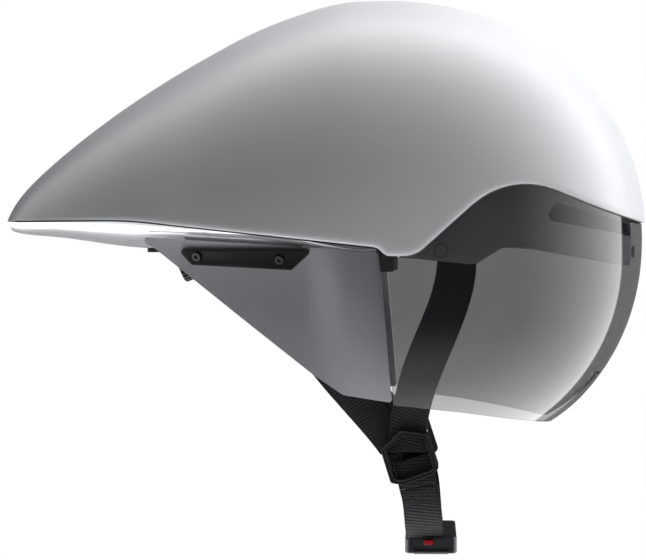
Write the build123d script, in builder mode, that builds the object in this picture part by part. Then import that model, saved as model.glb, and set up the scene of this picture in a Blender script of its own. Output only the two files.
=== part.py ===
"""Aero time trial helmet with a wraparound lens, ear panels, a dial fit system and a chin strap.

Millimetres. +X is the way the rider looks, +Y the rider's left, +Z up. The origin is where the
middle of the head meets the plane of the rim, so the helmet is placed on a head by it.
Pieces that come in pairs are built on the rider's right (-Y) and mirrored to the left.
"""

import math
import os

from build123d import *

# Outer form: one egg, whose upper half is the shell and whose lower front is the lens
APEX_X = -8.0  # station of the widest and highest section
FRONT_REACH = 129.5  # apex station to the nose of the egg
TAIL_REACH = 190.5  # apex station to the tip of the tail
HALF_WIDTH = 104.0
BELT_Z = 5.0  # level of the widest point of each section
CROWN_HEIGHT = 118.9  # belt to the top of the shell
CHIN_DEPTH = 118.0  # belt to the lowest point the lens surface would reach
PLAN_POWER = 2.4  # bluntness of the front seen from above
SIDE_POWER = 2.1  # bluntness of the front seen from the side
section_fullness_share = 0.58  # Bezier handle as a share of the section's half size
front_station_shares = (0.22, 0.42, 0.6, 0.75, 0.86, 0.935, 0.98, 0.998)
tail_station_shares = (  # back along the tail, half width, crown height
    (0.11, 0.993, 0.990),
    (0.22, 0.965, 0.942),
    (0.34, 0.905, 0.867),
    (0.455, 0.825, 0.771),
    (0.565, 0.720, 0.669),
    (0.68, 0.598, 0.550),
    (0.79, 0.462, 0.421),
    (0.895, 0.305, 0.278),
    (0.965, 0.175, 0.170),
    (0.997, 0.070, 0.085),
)

# Walls and gaps of the body
SHELL_WALL = 1.6
BOND_GAP = 0.3  # between skins and foam
LENS_INSET = 1.6  # lens face below the shell face
LENS_WALL = 2.2
BROW_INSET = 7.0  # brow skin face below the shell face
BROW_WALL = 1.5
LOWER_WALL = 1.8
PANEL_WALL = 1.8
OVERRUN = 30.0  # how far cutting shapes run past what they cut

# Side outline of the shell's lower edge, from the tail forward
RIM_TAIL_Z = 14.2
RIM_EAR_Z = 1.0
RIM_BEND_X = -130.0
LOBE_BACK_X = -9.5
LOBE_BOTTOM_X = -5.5
LOBE_Z = -2.9
LOBE_FRONT_X = 8.0
ARCH_X = 52.0
ARCH_Z = 36.6
ARCH_RADIUS = 38.0
LOBE_RADIUS = 14.0
LOBE_BACK_RADIUS = 2.5
RIM_RADIUS = 200.0
BROW_TIP_X = 123.5
BROW_TIP_Z = 8.8

# Brow skin, its lower edge and intake slots
BROW_BACK_X = 0.5
BROW_BACK_Z = -3.6
TONGUE_X = 36.0
TONGUE_Z = -7.0
TEMPLE_X = 49.5
TEMPLE_Z = 1.3
FOREHEAD_X = 66.0
FOREHEAD_Z = 1.0
BROW_LOW_X = 125.0
BROW_LOW_Z = -10.0
BROW_TUCK = 8.0  # how far the brow skin runs up behind the shell's arch
FOAM_LIFT = 1.6  # foam stops this far above the brow's lower edge
SLOT_TOP_X = 74.5
SLOT_TOP_Z = 22.3
SLOT_TOP_FALL = 14.4  # degrees
SLOT_LOW_X = 68.0
SLOT_LOW_Z = 14.2
SLOT_LOW_FALL = 9.5  # degrees
SLOT_CORNER = 3.0
BRIDGE_HALF_WIDTH = 13.0
INTAKE_WIDTH = 26.0
INTAKE_HEIGHT = 7.0
INTAKE_X = 60.0
INTAKE_Y = 33.0
INTAKE_Z = 9.5

# Lens outline seen from the side
LENS_BACK_TOP_X = -8.5
LENS_BACK_LOW_X = -2.3
LENS_BACK_LOW_Z = -73.5
LENS_MID_X = 30.0
LENS_MID_Z = -77.2
LENS_CHEEK_X = 72.0
LENS_CHEEK_Z = -83.8
LENS_BEND = 40.0
NOSE_Z = -57.0
NOSE_HALF_WIDTH = 27.0
NOSE_RADIUS = 9.0
LENS_SEAM = 0.6  # the light gap under the shell's edge
LENS_HOLE_R = 1.3
LENS_HOLE_AT = ((108.2, 9.7), (110.6, 8.0))  # X, Z
lens_hole_reach_shares = (0.4952, 0.4558)  # of HALF_WIDTH
LENS_HOLE_TURN = 30.0
MAGNET_R = 3.0
MAGNET_THICKNESS = 1.2
MAGNET_SEAT_GAP = 0.3
MAGNETS_APART = 1.2  # each pair pulls across this gap
TEMPLE_MAGNET_X = 20.0
TEMPLE_MAGNET_INSET = 5.7  # lens magnet's outer face below the widest point
TEMPLE_MAGNET_Z = -0.6
FRONT_MAGNET_INSET = 4.9  # lens magnet's outer face behind the nose
FRONT_MAGNET_Z = -1.0

# Room for the head
HEAD_X = -9.0
HEAD_LENGTH = 101.0
HEAD_INSET = 24.0  # skin, foam and pad beside the head
HEAD_WIDTH = HALF_WIDTH - HEAD_INSET
HEAD_HEIGHT = 94.0
PAD_GAP = 0.4
PAD_THICKNESS = 5.0
OPENING_GROW = 1.5

# Lower shell under the tail
keel_shares = (  # back along the tail, keel level as a share of RIM_TAIL_Z
    (0.0, -0.21),
    (0.21, -0.04),
    (0.42, 0.07),
    (0.55, 0.04),
    (0.67, 0.12),
    (0.79, 0.34),
    (0.90, 0.50),
    (0.975, 0.66),
)
LOWER_INSET = 1.2
BUMPER_LENGTH = 8.0
BUMPER_WIDTH = 30.0
BUMPER_HEIGHT = 4.2
BUMPER_X = -121.6
BUMPER_Z = 1.0
BUMPER_RIBS = 7
BUMPER_CORNER = 2.0
BUMPER_GROOVE = 1.2

# Ear panels: half widths of the outer face at stations and levels
panel_station_x_shares = (
    -1.37, -1.25, -1.13, -1.01, -0.89, -0.77, -0.56, -0.405, -0.27, -0.135, 0.02, 0.2
)
panel_level_z_shares = (0.077, -0.058, -0.288, -0.529, -0.75)
panel_width_shares = (
    (0.495, 0.475, 0.440, 0.410, 0.385),
    (0.585, 0.552, 0.504, 0.464, 0.435),
    (0.668, 0.614, 0.560, 0.516, 0.477),
    (0.740, 0.673, 0.615, 0.567, 0.519),
    (0.797, 0.723, 0.664, 0.610, 0.557),
    (0.846, 0.769, 0.712, 0.654, 0.596),
    (0.923, 0.837, 0.779, 0.721, 0.654),
    (0.947, 0.875, 0.817, 0.760, 0.683),
    (0.971, 0.947, 0.894, 0.812, 0.712),
    (0.981, 0.971, 0.937, 0.856, 0.736),
    (0.983, 0.978, 0.947, 0.863, 0.733),
    (0.980, 0.975, 0.945, 0.860, 0.730),
)
PANEL_TIP_X = -126.5
PANEL_TIP_Z = 6.3
PANEL_TOP_MID_X = -48.0
PANEL_TOP_MID_Z = 1.6
PANEL_TOP_X = -12.0
PANEL_TOP_Z = -1.3
PANEL_FRONT_TOP_X = -9.0
PANEL_FRONT_TOP_Z = -1.7
PANEL_FRONT_LOW_X = -2.8
PANEL_FRONT_LOW_Z = -72.2
PANEL_CHIN_X = -26.0
PANEL_CHIN_Z = -68.6
PANEL_SWEEP_X = -40.5
PANEL_SWEEP_Z = -58.8
PANEL_BACK_X = -116.5
PANEL_BACK_Z = 0.8
PANEL_CORNER_R = 1.5
PANEL_CHIN_R = 14.0
PLATE_WALL = 1.6
PLATE_GAP = 0.3
LUG_WALL = 6.2  # lugs under the lower shell that the panel screws bite into
LUG_MARGIN = 2.0
LUG_TOP_Z = 9.0
PLATE_TOP_BACK_X = -105.0
PLATE_TOP_Z = 0.2
PLATE_LOW_BACK_X = -98.0
PLATE_LOW_BACK_Z = -7.2
PLATE_LOW_FRONT_X = -50.0
PLATE_LOW_FRONT_Z = -9.6
PLATE_TOP_FRONT_X = -39.0
SCREW_STATIONS = ((-95.5, -3.2), (-55.5, -4.8))  # X, Z
SCREW_R = 1.25
SCREW_HEAD_R = 2.2
SCREW_HEAD = 1.4
SCREW_SEAT = 0.6  # the head's seat below the plate's face
SCREW_LENGTH = 9.0
SOCKET_R = 1.0
SOCKET_DEPTH = 0.9
INSERT_R = 2.3
INSERT_LENGTH = 4.8
INSERT_START = 4.5  # below the plate's face
INSERT_GAP = 0.1
HOLE_GAP = 0.3  # round clearance holes

# Webbing and its hardware
WEB_WIDTH = 18.0
WEB = 1.4
FRONT_WEB_AT = ((27.6, 0.0), (21.9, -32.0), (8.0, -68.0), (4.6, -86.0), (4.4, -96.5))  # X, Z
front_web_reach_shares = (0.8077, 0.7692, 0.6635, 0.6087, 0.5942)  # of HALF_WIDTH
REAR_WEB_AT = ((-61.0, 4.0), (-49.0, -30.0), (-31.5, -56.5), (-14.5, -76.5), (-1.5, -92.5))
rear_web_reach_shares = (0.7365, 0.7115, 0.6635, 0.6077, 0.5827)
LOOP_WEB_AT = ((5.8, -99.8), (7.6, -106.0), (9.0, -112.2))
loop_web_reach_shares = (0.5885, 0.5817, 0.5731)
LOWER_WEB_AT = ((9.3, -113.6), (10.9, -121.0), (11.8, -131.2))
lower_web_reach_shares = (0.5702, 0.5462, 0.4856)
BUCKLE_WEB_AT = ((12.6, -139.0), (12.8, -142.0))
BUCKLE_WEB_INSETS = (1.2, 7.5)  # inwards from the buckle's outer face
WEB_GAP = 0.25
ANCHOR_LENGTH = 21.0
ANCHOR_THICKNESS = 5.0
ANCHOR_HEIGHT = 8.5
ANCHOR_GAP = 0.2
FRONT_ANCHOR_Z = 0.6
REAR_ANCHOR_Z = 4.4
RING_AT = (5.5, -98.5)  # X, Z of the frame's middle
RING_PROUD = 0.7  # frame's inner face outside the front strap's middle
RING_LEAN = 8.0  # the divider's foot leans in towards the chin
RING_REACH = 14.0
ring_outline_shares = (
    (-0.32, 0.92),
    (0.61, 0.79),
    (0.99, -0.38),
    (0.75, -0.62),
    (-0.23, -0.98),
    (-0.66, -0.91),
    (-1.01, 0.25),
)
RING_BAR = 2.3
RING_THICKNESS = 2.6
RING_CORNER = 1.8
RING_BACK_AT = 4.8  # behind the frame's inner face
RING_BACK = 1.4
RING_POST = 1.9
RING_POST_AT = (-8.2, -11.2)

# Buckle under the chin
BUCKLE_X = 15.5
BUCKLE_WIDTH = 25.0
BUCKLE_TOP_Z = -139.0
BUCKLE_THICKNESS = 8.4
BUCKLE_OUTER_Y = 42.0
BUCKLE_INNER_Y = 11.0
BUCKLE_CORNER = 3.0
BUCKLE_EDGE = 1.0
CLIP_THICKNESS = 3.2
CLIP_GAP = 0.4
CLIP_TONGUE_Y = 10.0
TONGUE_WIDTH = 17.0
TAB_X = 14.2
TAB_Z = -141.8
TAB_WIDTH = 4.6
TAB_HEIGHT = 2.4
TAB_LENGTH = 2.8
TAB_PROUD = 1.2
TAB_GAP = 0.2
TAB_TRAVEL = 1.0
FACE_RIM = 4.0  # frame round the recess in the buckle's outer face
FACE_DEPTH = 0.8
FACE_FOOT = 1.4
BUCKLE_MAGNET_R = 4.0
BUCKLE_MAGNET = 1.6

# Fit system at the nape
CRADLE_CENTRE_X = -68.0
CRADLE_DEPTH = 34.0
CRADLE_INSET = 8.0
CRADLE_HALF_WIDTH = HEAD_WIDTH - CRADLE_INSET
CRADLE_WALL = 2.2
CRADLE_TOP_Z = -2.6
CRADLE_LOW_Z = -11.6
CRADLE_ARM_X = -50.0
BAND_WALL = 1.2
BAND_GAP = 0.8
BAND_TOP_Z = -3.6
BAND_LOW_Z = -10.4
BAND_BACK_X = -57.0
BAND_BEND_X = -37.0
BAND_SPREAD_X = -22.0
BAND_SPREAD_INSET = 5.6
BAND_FRONT_X = -2.0
BAND_FRONT_INSET = 2.2
BAND_TAB_LENGTH = 12.0
BAND_TAB_TOP_Z = 11.0
PIN_R = 2.4
PIN_HEAD_R = 3.6
PIN_HEAD = 1.2
PIN_Z = 5.0
PIN_LENGTH = 13.0
DIAL_AT = (-104.0, -4.2)  # X, Z of the housing's rear face on the middle plane
DIAL_TILT = 21.5  # the dial's face turns down by this
housing_width_share = 0.4444  # of the cradle's width
HOUSING_HALF_WIDTH = CRADLE_HALF_WIDTH * housing_width_share
HOUSING_HEIGHT = 17.4
HOUSING_DEPTH = 7.2
HOUSING_WALL = 1.2
HOUSING_CORNER = 4.0
BACKING = 1.5
BACKING_GAP = 0.1
KNOB_R = 10.0
KNOB_DEPTH = 7.0
KNOB_GAP = 0.4
KNOB_RIBS = 24
KNOB_RIB_R = 0.7
KNOB_EDGE = 1.2
SHAFT_R = 2.2
SHAFT_SQUARE = 3.0
SHAFT_GAP = 0.1
SHAFT_REACH = 4.0
MODULE = 1.0
PINION_TEETH = 8
PINION_DEPTH = 3.2
PINION_AT = 3.4  # below the housing's rear face
tooth_root_share = 0.55  # half widths and heights of a tooth as shares of the module
tooth_tip_share = 0.3
tooth_out_share = 0.6
tooth_in_share = 0.7
rack_root_share = 1.0
rack_tip_share = 0.45
RACK_TEETH = 8
RACK_BACK = 1.9
RACK_REACH = 4.0
RECESS_MARGIN = 3.0
RECESS_GAP = 1.0
RECESS_REACH = 16.0
NAPE_PAD = 3.5
NAPE_PAD_GAP = 0.3
NAPE_PAD_INNER_Y = 35.0
NAPE_PAD_OUTER_Y = 62.0
NAPE_PAD_MARGIN = 1.0

# Fit pads in the head cavity: where they start and end
BROW_PAD_X = 30.0
BROW_PAD_LOW_Z = 18.5
BROW_PAD_TOP_Z = 33.0
CROWN_PAD_BACK_X = -62.0
CROWN_PAD_FRONT_X = 48.0
CROWN_PAD_HALF_WIDTH = 11.0
SIDE_PAD_BACK_X = -66.0
SIDE_PAD_FRONT_X = 12.0
SIDE_PAD_LOW_Z = 26.0
SIDE_PAD_TOP_Z = 45.0
REAR_PAD_X = -62.0
REAR_PAD_LOW_Z = 20.0
REAR_PAD_TOP_Z = 38.0
CHANNEL_GROW = 9.0
CHANNEL_HALF_WIDTH = 4.5
CHANNEL_AT_Y = 22.0
CHANNEL_LOW_Z = 12.0

LOWEST = -160.0
HIGHEST = 140.0
SPAN = 130.0  # half the width of every cutting prism


def front_width(share):
    """Half width as a share at a station a share of the way to the nose."""
    return (1.0 - share**PLAN_POWER) ** (1.0 / PLAN_POWER)


def front_height(share):
    """Height as a share at a station a share of the way to the nose."""
    return (1.0 - share**SIDE_POWER) ** (1.0 / SIDE_POWER)


def egg_section(x, width, up, down):
    """One closed cross-section of the egg at station x."""
    fullness = section_fullness_share
    with BuildSketch(Plane.YZ.offset(x)) as section:
        with BuildLine():
            for side in (1, -1):
                for height in (up, -down):
                    Bezier(
                        (side * width, BELT_Z),
                        (side * width, BELT_Z + fullness * height),
                        (side * fullness * width, BELT_Z + height),
                        (0, BELT_Z + height),
                    )
        make_face()
    return section.sketch


def egg(inset):
    """The whole form, set in from the shell's face by inset."""
    width = HALF_WIDTH - inset
    up = CROWN_HEIGHT - inset
    down = CHIN_DEPTH - inset
    sections = []
    for back, wide, tall in reversed(tail_station_shares):
        x = APEX_X - back * (TAIL_REACH - inset)
        sections.append(egg_section(x, wide * width, tall * up, tall * down))
    sections.append(egg_section(APEX_X, width, up, down))
    for ahead in front_station_shares:
        x = APEX_X + ahead * (FRONT_REACH - inset)
        wide, tall = front_width(ahead), front_height(ahead)
        sections.append(egg_section(x, wide * width, tall * up, tall * down))
    with BuildPart() as body:
        loft(sections)
    return body.part


def rim_points(drop):
    """Corners of the shell's lower edge in the side view, lowered by drop."""
    return [
        (-SPAN * 2, RIM_TAIL_Z - drop),
        (RIM_BEND_X, RIM_TAIL_Z - drop),
        (LOBE_BACK_X - drop, RIM_EAR_Z - drop),
        (LOBE_BOTTOM_X - drop, LOBE_Z - drop),
        (LOBE_FRONT_X + drop, LOBE_Z - drop),
        (ARCH_X + drop, ARCH_Z - drop),
        (BROW_TIP_X, BROW_TIP_Z - drop),
        (SPAN * 2, BROW_TIP_Z - drop),
    ]


RIM_RADII = [
    RIM_RADIUS,
    LOBE_BACK_RADIUS,
    LOBE_BACK_RADIUS,
    LOBE_RADIUS,
    ARCH_RADIUS,
    RIM_RADIUS,
]


def above_rim(drop):
    """Everything above the shell's lower edge, lowered by drop."""
    with BuildPart() as prism:
        with BuildSketch(Plane.XZ):
            with BuildLine():
                edge = FilletPolyline(*rim_points(drop), radius=RIM_RADII)
                Polyline(edge @ 1, (SPAN * 2, HIGHEST), (-SPAN * 2, HIGHEST), edge @ 0)
            make_face()
        extrude(amount=SPAN, both=True)
    return prism.part


def above_brow(drop):
    """Everything above the brow's lower edge, and ahead of its back edge."""
    with BuildPart() as prism:
        with BuildSketch(Plane.XZ):
            with BuildLine():
                edge = FilletPolyline(
                    (BROW_BACK_X, BROW_BACK_Z - drop),
                    (TONGUE_X, TONGUE_Z - drop),
                    (TEMPLE_X, TEMPLE_Z - drop),
                    (FOREHEAD_X, FOREHEAD_Z - drop),
                    (BROW_LOW_X, BROW_LOW_Z - drop),
                    radius=[PANEL_CHIN_R / 2, PANEL_CHIN_R / 2, RIM_RADIUS / 2],
                )
                Polyline(
                    edge @ 1,
                    (BROW_LOW_X, HIGHEST),
                    (BROW_BACK_X, HIGHEST),
                    edge @ 0,
                )
            make_face()
        extrude(amount=SPAN, both=True)
    return prism.part


def tail_width(back):
    """Half width share of the tail, read from the station table."""
    stations = [(0.0, 1.0)] + [(row[0], row[1]) for row in tail_station_shares]
    for (low, wide), (high, narrow) in zip(stations, stations[1:]):
        if back <= high:
            return wide + (narrow - wide) * (back - low) / (high - low)
    return stations[-1][1]


def rim_level(x):
    """Level of the shell's edge behind the ear lobe."""
    if x <= RIM_BEND_X:
        return RIM_TAIL_Z
    ahead = (x - RIM_BEND_X) / (LOBE_BACK_X - RIM_BEND_X)
    return RIM_TAIL_Z + (RIM_EAR_Z - RIM_TAIL_Z) * ahead


def underbody(inset):
    """The shallow bowl that closes the tail from below."""
    sections = []
    for back, keel in reversed(keel_shares):
        x = APEX_X - back * (TAIL_REACH - inset)
        width = tail_width(back) * HALF_WIDTH - LOWER_INSET - inset
        top = rim_level(x)
        low = keel * RIM_TAIL_Z + inset
        with BuildSketch(Plane.YZ.offset(x)) as section:
            with BuildLine():
                for side in (1, -1):
                    Bezier(
                        (side * width, top),
                        (side * width, top + (low - top) * section_fullness_share),
                        (side * width * section_fullness_share, low),
                        (0, low),
                    )
                    Line((side * width, top), (side * width, top + OVERRUN))
                Line((width, top + OVERRUN), (-width, top + OVERRUN))
            make_face()
        sections.append(section.sketch)
    with BuildPart() as bowl:
        loft(sections)
    return bowl.part


def head_form(grow):
    """The space a head takes: half an ellipsoid over a straight oval skirt."""
    with BuildPart() as dome:
        Sphere(1.0)
        scale(by=(HEAD_LENGTH + grow, HEAD_WIDTH + grow, HEAD_HEIGHT + grow))
    with BuildPart() as skirt:
        with BuildSketch():
            Ellipse(HEAD_LENGTH + grow, HEAD_WIDTH + grow)
        extrude(amount=-OVERRUN * 2)
    shift = Location((HEAD_X, 0, 0))
    return dome.part.moved(shift), skirt.part.moved(shift)


def arch_pocket(rise):
    """Room below the shell's arch raised by rise, ahead of the ear lobe."""
    with BuildPart() as prism:
        with BuildSketch(Plane.XZ):
            with BuildLine():
                edge = FilletPolyline(
                    (BROW_BACK_X, LOBE_Z + rise),
                    (LOBE_FRONT_X, LOBE_Z + rise),
                    (ARCH_X, ARCH_Z + rise),
                    (SPAN * 2, BROW_TIP_Z + rise),
                    radius=[LOBE_RADIUS, ARCH_RADIUS],
                )
                Polyline(edge @ 1, (SPAN * 2, LOWEST), (BROW_BACK_X, LOWEST), edge @ 0)
            make_face()
        extrude(amount=SPAN, both=True)
    return prism.part


def slot_prism():
    """The brow's long intake slot on both sides, with a bridge in the middle."""
    top_fall = math.tan(math.radians(SLOT_TOP_FALL)) * (SPAN - SLOT_TOP_X)
    low_fall = math.tan(math.radians(SLOT_LOW_FALL)) * (SPAN - SLOT_LOW_X)
    with BuildPart() as prism:
        with BuildSketch(Plane.XZ):
            with BuildLine():
                edge = FilletPolyline(
                    (SPAN, SLOT_TOP_Z - top_fall),
                    (SLOT_TOP_X, SLOT_TOP_Z),
                    (SLOT_LOW_X, SLOT_LOW_Z),
                    (SPAN, SLOT_LOW_Z - low_fall),
                    radius=SLOT_CORNER,
                )
                Line(edge @ 1, edge @ 0)
            make_face()
        extrude(amount=SPAN, both=True)
        add(block(0, SPAN, -BRIDGE_HALF_WIDTH, BRIDGE_HALF_WIDTH, LOWEST, HIGHEST),
            mode=Mode.SUBTRACT)
    return prism.part


def lens_outline():
    """What lies inside the lens's side outline and outside its nose notch."""
    with BuildPart() as prism:
        with BuildSketch(Plane.XZ):
            with BuildLine():
                edge = FilletPolyline(
                    (LENS_BACK_TOP_X, LOBE_Z),
                    (LENS_BACK_LOW_X, LENS_BACK_LOW_Z),
                    (LENS_MID_X, LENS_MID_Z),
                    (LENS_CHEEK_X, LENS_CHEEK_Z),
                    (SPAN, LENS_CHEEK_Z),
                    radius=[LENS_SEAM, LENS_BEND, LENS_BEND],
                )
                Polyline(edge @ 1, (SPAN, HIGHEST), (LENS_BACK_TOP_X, HIGHEST), edge @ 0)
            make_face()
        extrude(amount=SPAN, both=True)
        with BuildSketch(Plane.YZ):
            with BuildLine():
                notch = FilletPolyline(
                    (-NOSE_HALF_WIDTH, LENS_CHEEK_Z),
                    (0, NOSE_Z),
                    (NOSE_HALF_WIDTH, LENS_CHEEK_Z),
                    radius=NOSE_RADIUS,
                )
                Polyline(notch @ 1, (NOSE_HALF_WIDTH, LOWEST), (-NOSE_HALF_WIDTH, LOWEST),
                         notch @ 0)
            make_face()
        extrude(amount=SPAN, mode=Mode.SUBTRACT)
    return prism.part


def panel_sheet(out, thickness):
    """A curved sheet whose outer face lies out beyond the ear panel's outer face."""
    sections = []
    for share, widths in zip(panel_station_x_shares, panel_width_shares):
        outer = [
            (-(wide * HALF_WIDTH + out), level * HALF_WIDTH)
            for wide, level in zip(widths, panel_level_z_shares)
        ]
        inner = [(y + thickness, z) for y, z in outer]
        with BuildSketch(Plane.YZ.offset(share * HALF_WIDTH)) as section:
            with BuildLine():
                Spline(outer)
                Line(outer[-1], inner[-1])
                Spline(list(reversed(inner)))
                Line(inner[0], outer[0])
            make_face()
        sections.append(section.sketch)
    with BuildPart() as sheet:
        loft(sections)
    return sheet.part


def side_prism(points, radius):
    """A rounded outline in the side view, cut through the rider's right half."""
    with BuildPart() as prism:
        with BuildSketch(Plane.XZ):
            with BuildLine():
                FilletPolyline(*points, radius=radius, close=True)
            make_face()
        extrude(amount=SPAN)
    return prism.part


def block(x_from, x_to, y_from, y_to, z_from, z_to):
    """A box between six limits."""
    middle = ((x_from + x_to) / 2, (y_from + y_to) / 2, (z_from + z_to) / 2)
    with BuildPart() as box:
        with Locations(middle):
            Box(x_to - x_from, y_to - y_from, z_to - z_from)
    return box.part


def rod(plane, radius, start, end):
    """A round bar along a plane's axis between two distances."""
    with BuildPart() as bar:
        with BuildSketch(plane.offset(start)):
            Circle(radius)
        extrude(amount=end - start)
    return bar.part


def hex_rod(plane, radius, start, end):
    """A six-sided bar along a plane's axis between two distances."""
    with BuildPart() as bar:
        with BuildSketch(plane.offset(start)):
            RegularPolygon(radius, 6)
        extrude(amount=end - start)
    return bar.part


def mirrored(piece):
    """The same piece for the rider's left."""
    return piece.mirror(Plane.XZ)


def web_plane(place, along):
    """Where a strap is cut across: its width lies in the side view."""
    direction = along.normalized()
    across = direction.cross(Vector(0, 1, 0)).normalized()
    return Plane(origin=place, x_dir=across, z_dir=direction)


def web_stations(points, outward):
    """Cutting planes along a strap on the rider's right."""
    places = [Vector(x, -reach, z) for x, reach, z in points]
    planes = []
    for index, place in enumerate(places):
        before = places[max(index - 1, 0)]
        after = places[min(index + 1, len(places) - 1)]
        middle = web_plane(place, after - before)
        planes.append(web_plane(place + middle.y_dir * outward, after - before))
    return planes


def strap(points, grow=0.0, outward=0.0):
    """A flat strap on the rider's right through points given as X, reach, Z."""
    sections = []
    for plane in web_stations(points, outward):
        with BuildSketch(plane) as section:
            Rectangle(WEB_WIDTH + grow * 2, WEB + grow * 2)
        sections.append(section.sketch)
    with BuildPart() as web:
        loft(sections)
    return web.part


def magnet_planes(deeper):
    """Right temple, left temple and front magnet places, facing out."""
    x, z = TEMPLE_MAGNET_X, TEMPLE_MAGNET_Z
    reach = HALF_WIDTH - TEMPLE_MAGNET_INSET - deeper
    front_x = APEX_X + FRONT_REACH - FRONT_MAGNET_INSET - deeper
    return [
        Plane(origin=(x, -reach, z), z_dir=(0, -1, 0)),
        Plane(origin=(x, reach, z), z_dir=(0, 1, 0)),
        Plane(origin=(front_x, 0, FRONT_MAGNET_Z), z_dir=(1, 0, 0)),
    ]


def web_route(places, reach_shares):
    """A strap's points from their X and Z and their shares of the half width."""
    return [(x, share * HALF_WIDTH, z) for (x, z), share in zip(places, reach_shares)]


def screw_planes(sheet):
    """Seats of the two panel screws on the sheet's outer face, facing out."""
    planes = []
    for x, z in SCREW_STATIONS:
        sight = Axis((x, -SPAN, z), (0, 1, 0))
        face, facing = sheet.find_intersection_points(sight)[0]
        outward = facing if facing.Y < 0 else -facing
        planes.append(Plane(origin=face, x_dir=(1, 0, 0), z_dir=outward))
    return planes


def arc_wall(half_width, depth, z_from, z_to):
    """Half an oval behind the cradle's centre with straight arms to the front."""
    with BuildPart() as wall:
        with BuildSketch(Plane.XY.offset(z_from)):
            with Locations((CRADLE_CENTRE_X, 0)):
                Ellipse(depth, half_width)
            with Locations((CRADLE_CENTRE_X / 2, 0)):
                Rectangle(-CRADLE_CENTRE_X, half_width * 2)
        extrude(amount=z_to - z_from)
    return wall.part


def rack(direction):
    """A toothed bar in the dial's plane; direction 1 lies below the pinion, -1 above."""
    pitch = math.pi * MODULE
    tip_y = PINION_TEETH * MODULE / 2 - MODULE * rack_tip_share
    root_y = PINION_TEETH * MODULE / 2 + MODULE * rack_root_share
    start = -RACK_REACH * direction
    length = pitch * RACK_TEETH + RACK_REACH / 2
    with BuildPart() as bar:
        with BuildSketch(dial_plane.offset(-PINION_AT - PINION_DEPTH)):
            with Locations((start + direction * length / 2,
                            direction * (root_y + RACK_BACK / 2))):
                Rectangle(length, RACK_BACK)
            for count in range(RACK_TEETH):
                middle = direction * pitch * (count - 0.5)
                Polygon(
                    (middle - MODULE * tooth_root_share, direction * root_y),
                    (middle - MODULE * tooth_tip_share, direction * tip_y),
                    (middle + MODULE * tooth_tip_share, direction * tip_y),
                    (middle + MODULE * tooth_root_share, direction * root_y),
                    align=None,
                )
        extrude(amount=PINION_DEPTH)
    return bar.part


def anchor_block(place, level, grow=0.0):
    """Moulded plug that holds a strap's end in the foam, on the rider's right."""
    x, reach, _ = place
    half_length = ANCHOR_LENGTH / 2 + grow
    half_thickness = ANCHOR_THICKNESS / 2 + grow
    half_height = ANCHOR_HEIGHT / 2 + grow
    return block(
        x - half_length,
        x + half_length,
        -reach - half_thickness,
        -reach + half_thickness,
        level - half_height,
        level + half_height,
    )


def pad(x_from, x_to, y_from, y_to, z_from, z_to):
    """A cushion on the cavity wall, cut out of its thickness between six limits."""
    with BuildPart() as cushion:
        add(head_form(-PAD_GAP)[0])
        add(head_form(-PAD_GAP - PAD_THICKNESS)[0], mode=Mode.SUBTRACT)
        add(block(x_from, x_to, y_from, y_to, z_from, z_to), mode=Mode.INTERSECT)
    return cushion.part


os.makedirs("parts", exist_ok=True)
nodes = {}

# Shared cutting shapes
rim_prism = above_rim(0.0)
slot = slot_prism()
bowl_inner = underbody(LOWER_WALL)
dome, skirt = head_form(0.0)
lens_magnet_planes = magnet_planes(0.0)
brow_magnet_planes = magnet_planes(MAGNET_THICKNESS + MAGNETS_APART)
front_web = web_route(FRONT_WEB_AT, front_web_reach_shares)
rear_web = web_route(REAR_WEB_AT, rear_web_reach_shares)
loop_web = web_route(LOOP_WEB_AT, loop_web_reach_shares)
lower_web = web_route(LOWER_WEB_AT, lower_web_reach_shares)
for (web_x, web_z), web_inset in zip(BUCKLE_WEB_AT, BUCKLE_WEB_INSETS):
    lower_web.append((web_x, BUCKLE_OUTER_Y - web_inset, web_z))
band_front = HEAD_WIDTH - BAND_FRONT_INSET
band_spread = HEAD_WIDTH - BAND_SPREAD_INSET
plate_sheet = panel_sheet(PLATE_GAP + PLATE_WALL, PLATE_WALL)
screws = screw_planes(plate_sheet)
dial_x, dial_z = DIAL_AT
tilt = math.radians(DIAL_TILT)
dial_facing = Vector(-math.cos(tilt), 0, -math.sin(tilt))
dial_plane = Plane(origin=(dial_x, 0, dial_z), x_dir=(0, 1, 0), z_dir=dial_facing)
dial_recess = rod(dial_plane, KNOB_R + RECESS_MARGIN, -HOUSING_DEPTH * 2, RECESS_REACH)
front_web_room = strap(front_web, WEB_GAP)
rear_web_room = strap(rear_web, WEB_GAP)
front_pocket = anchor_block(front_web[0], FRONT_ANCHOR_Z, ANCHOR_GAP)
rear_pocket = anchor_block(rear_web[0], REAR_ANCHOR_Z, ANCHOR_GAP)
pin_plane = Plane(origin=(BAND_FRONT_X - BAND_TAB_LENGTH / 2, -band_front, PIN_Z),
                  z_dir=(0, -1, 0))
bumper_room = block(BUMPER_X - BUMPER_LENGTH / 2, BUMPER_X + BUMPER_LENGTH / 2,
                    -BUMPER_WIDTH / 2, BUMPER_WIDTH / 2,
                    BUMPER_Z - BUMPER_HEIGHT / 2, BUMPER_Z + BUMPER_HEIGHT / 2)

# Skins
with BuildPart() as outer_shell:
    add(egg(0.0))
    add(egg(SHELL_WALL), mode=Mode.SUBTRACT)
    add(rim_prism, mode=Mode.INTERSECT)
nodes["outer_shell"] = outer_shell

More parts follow.
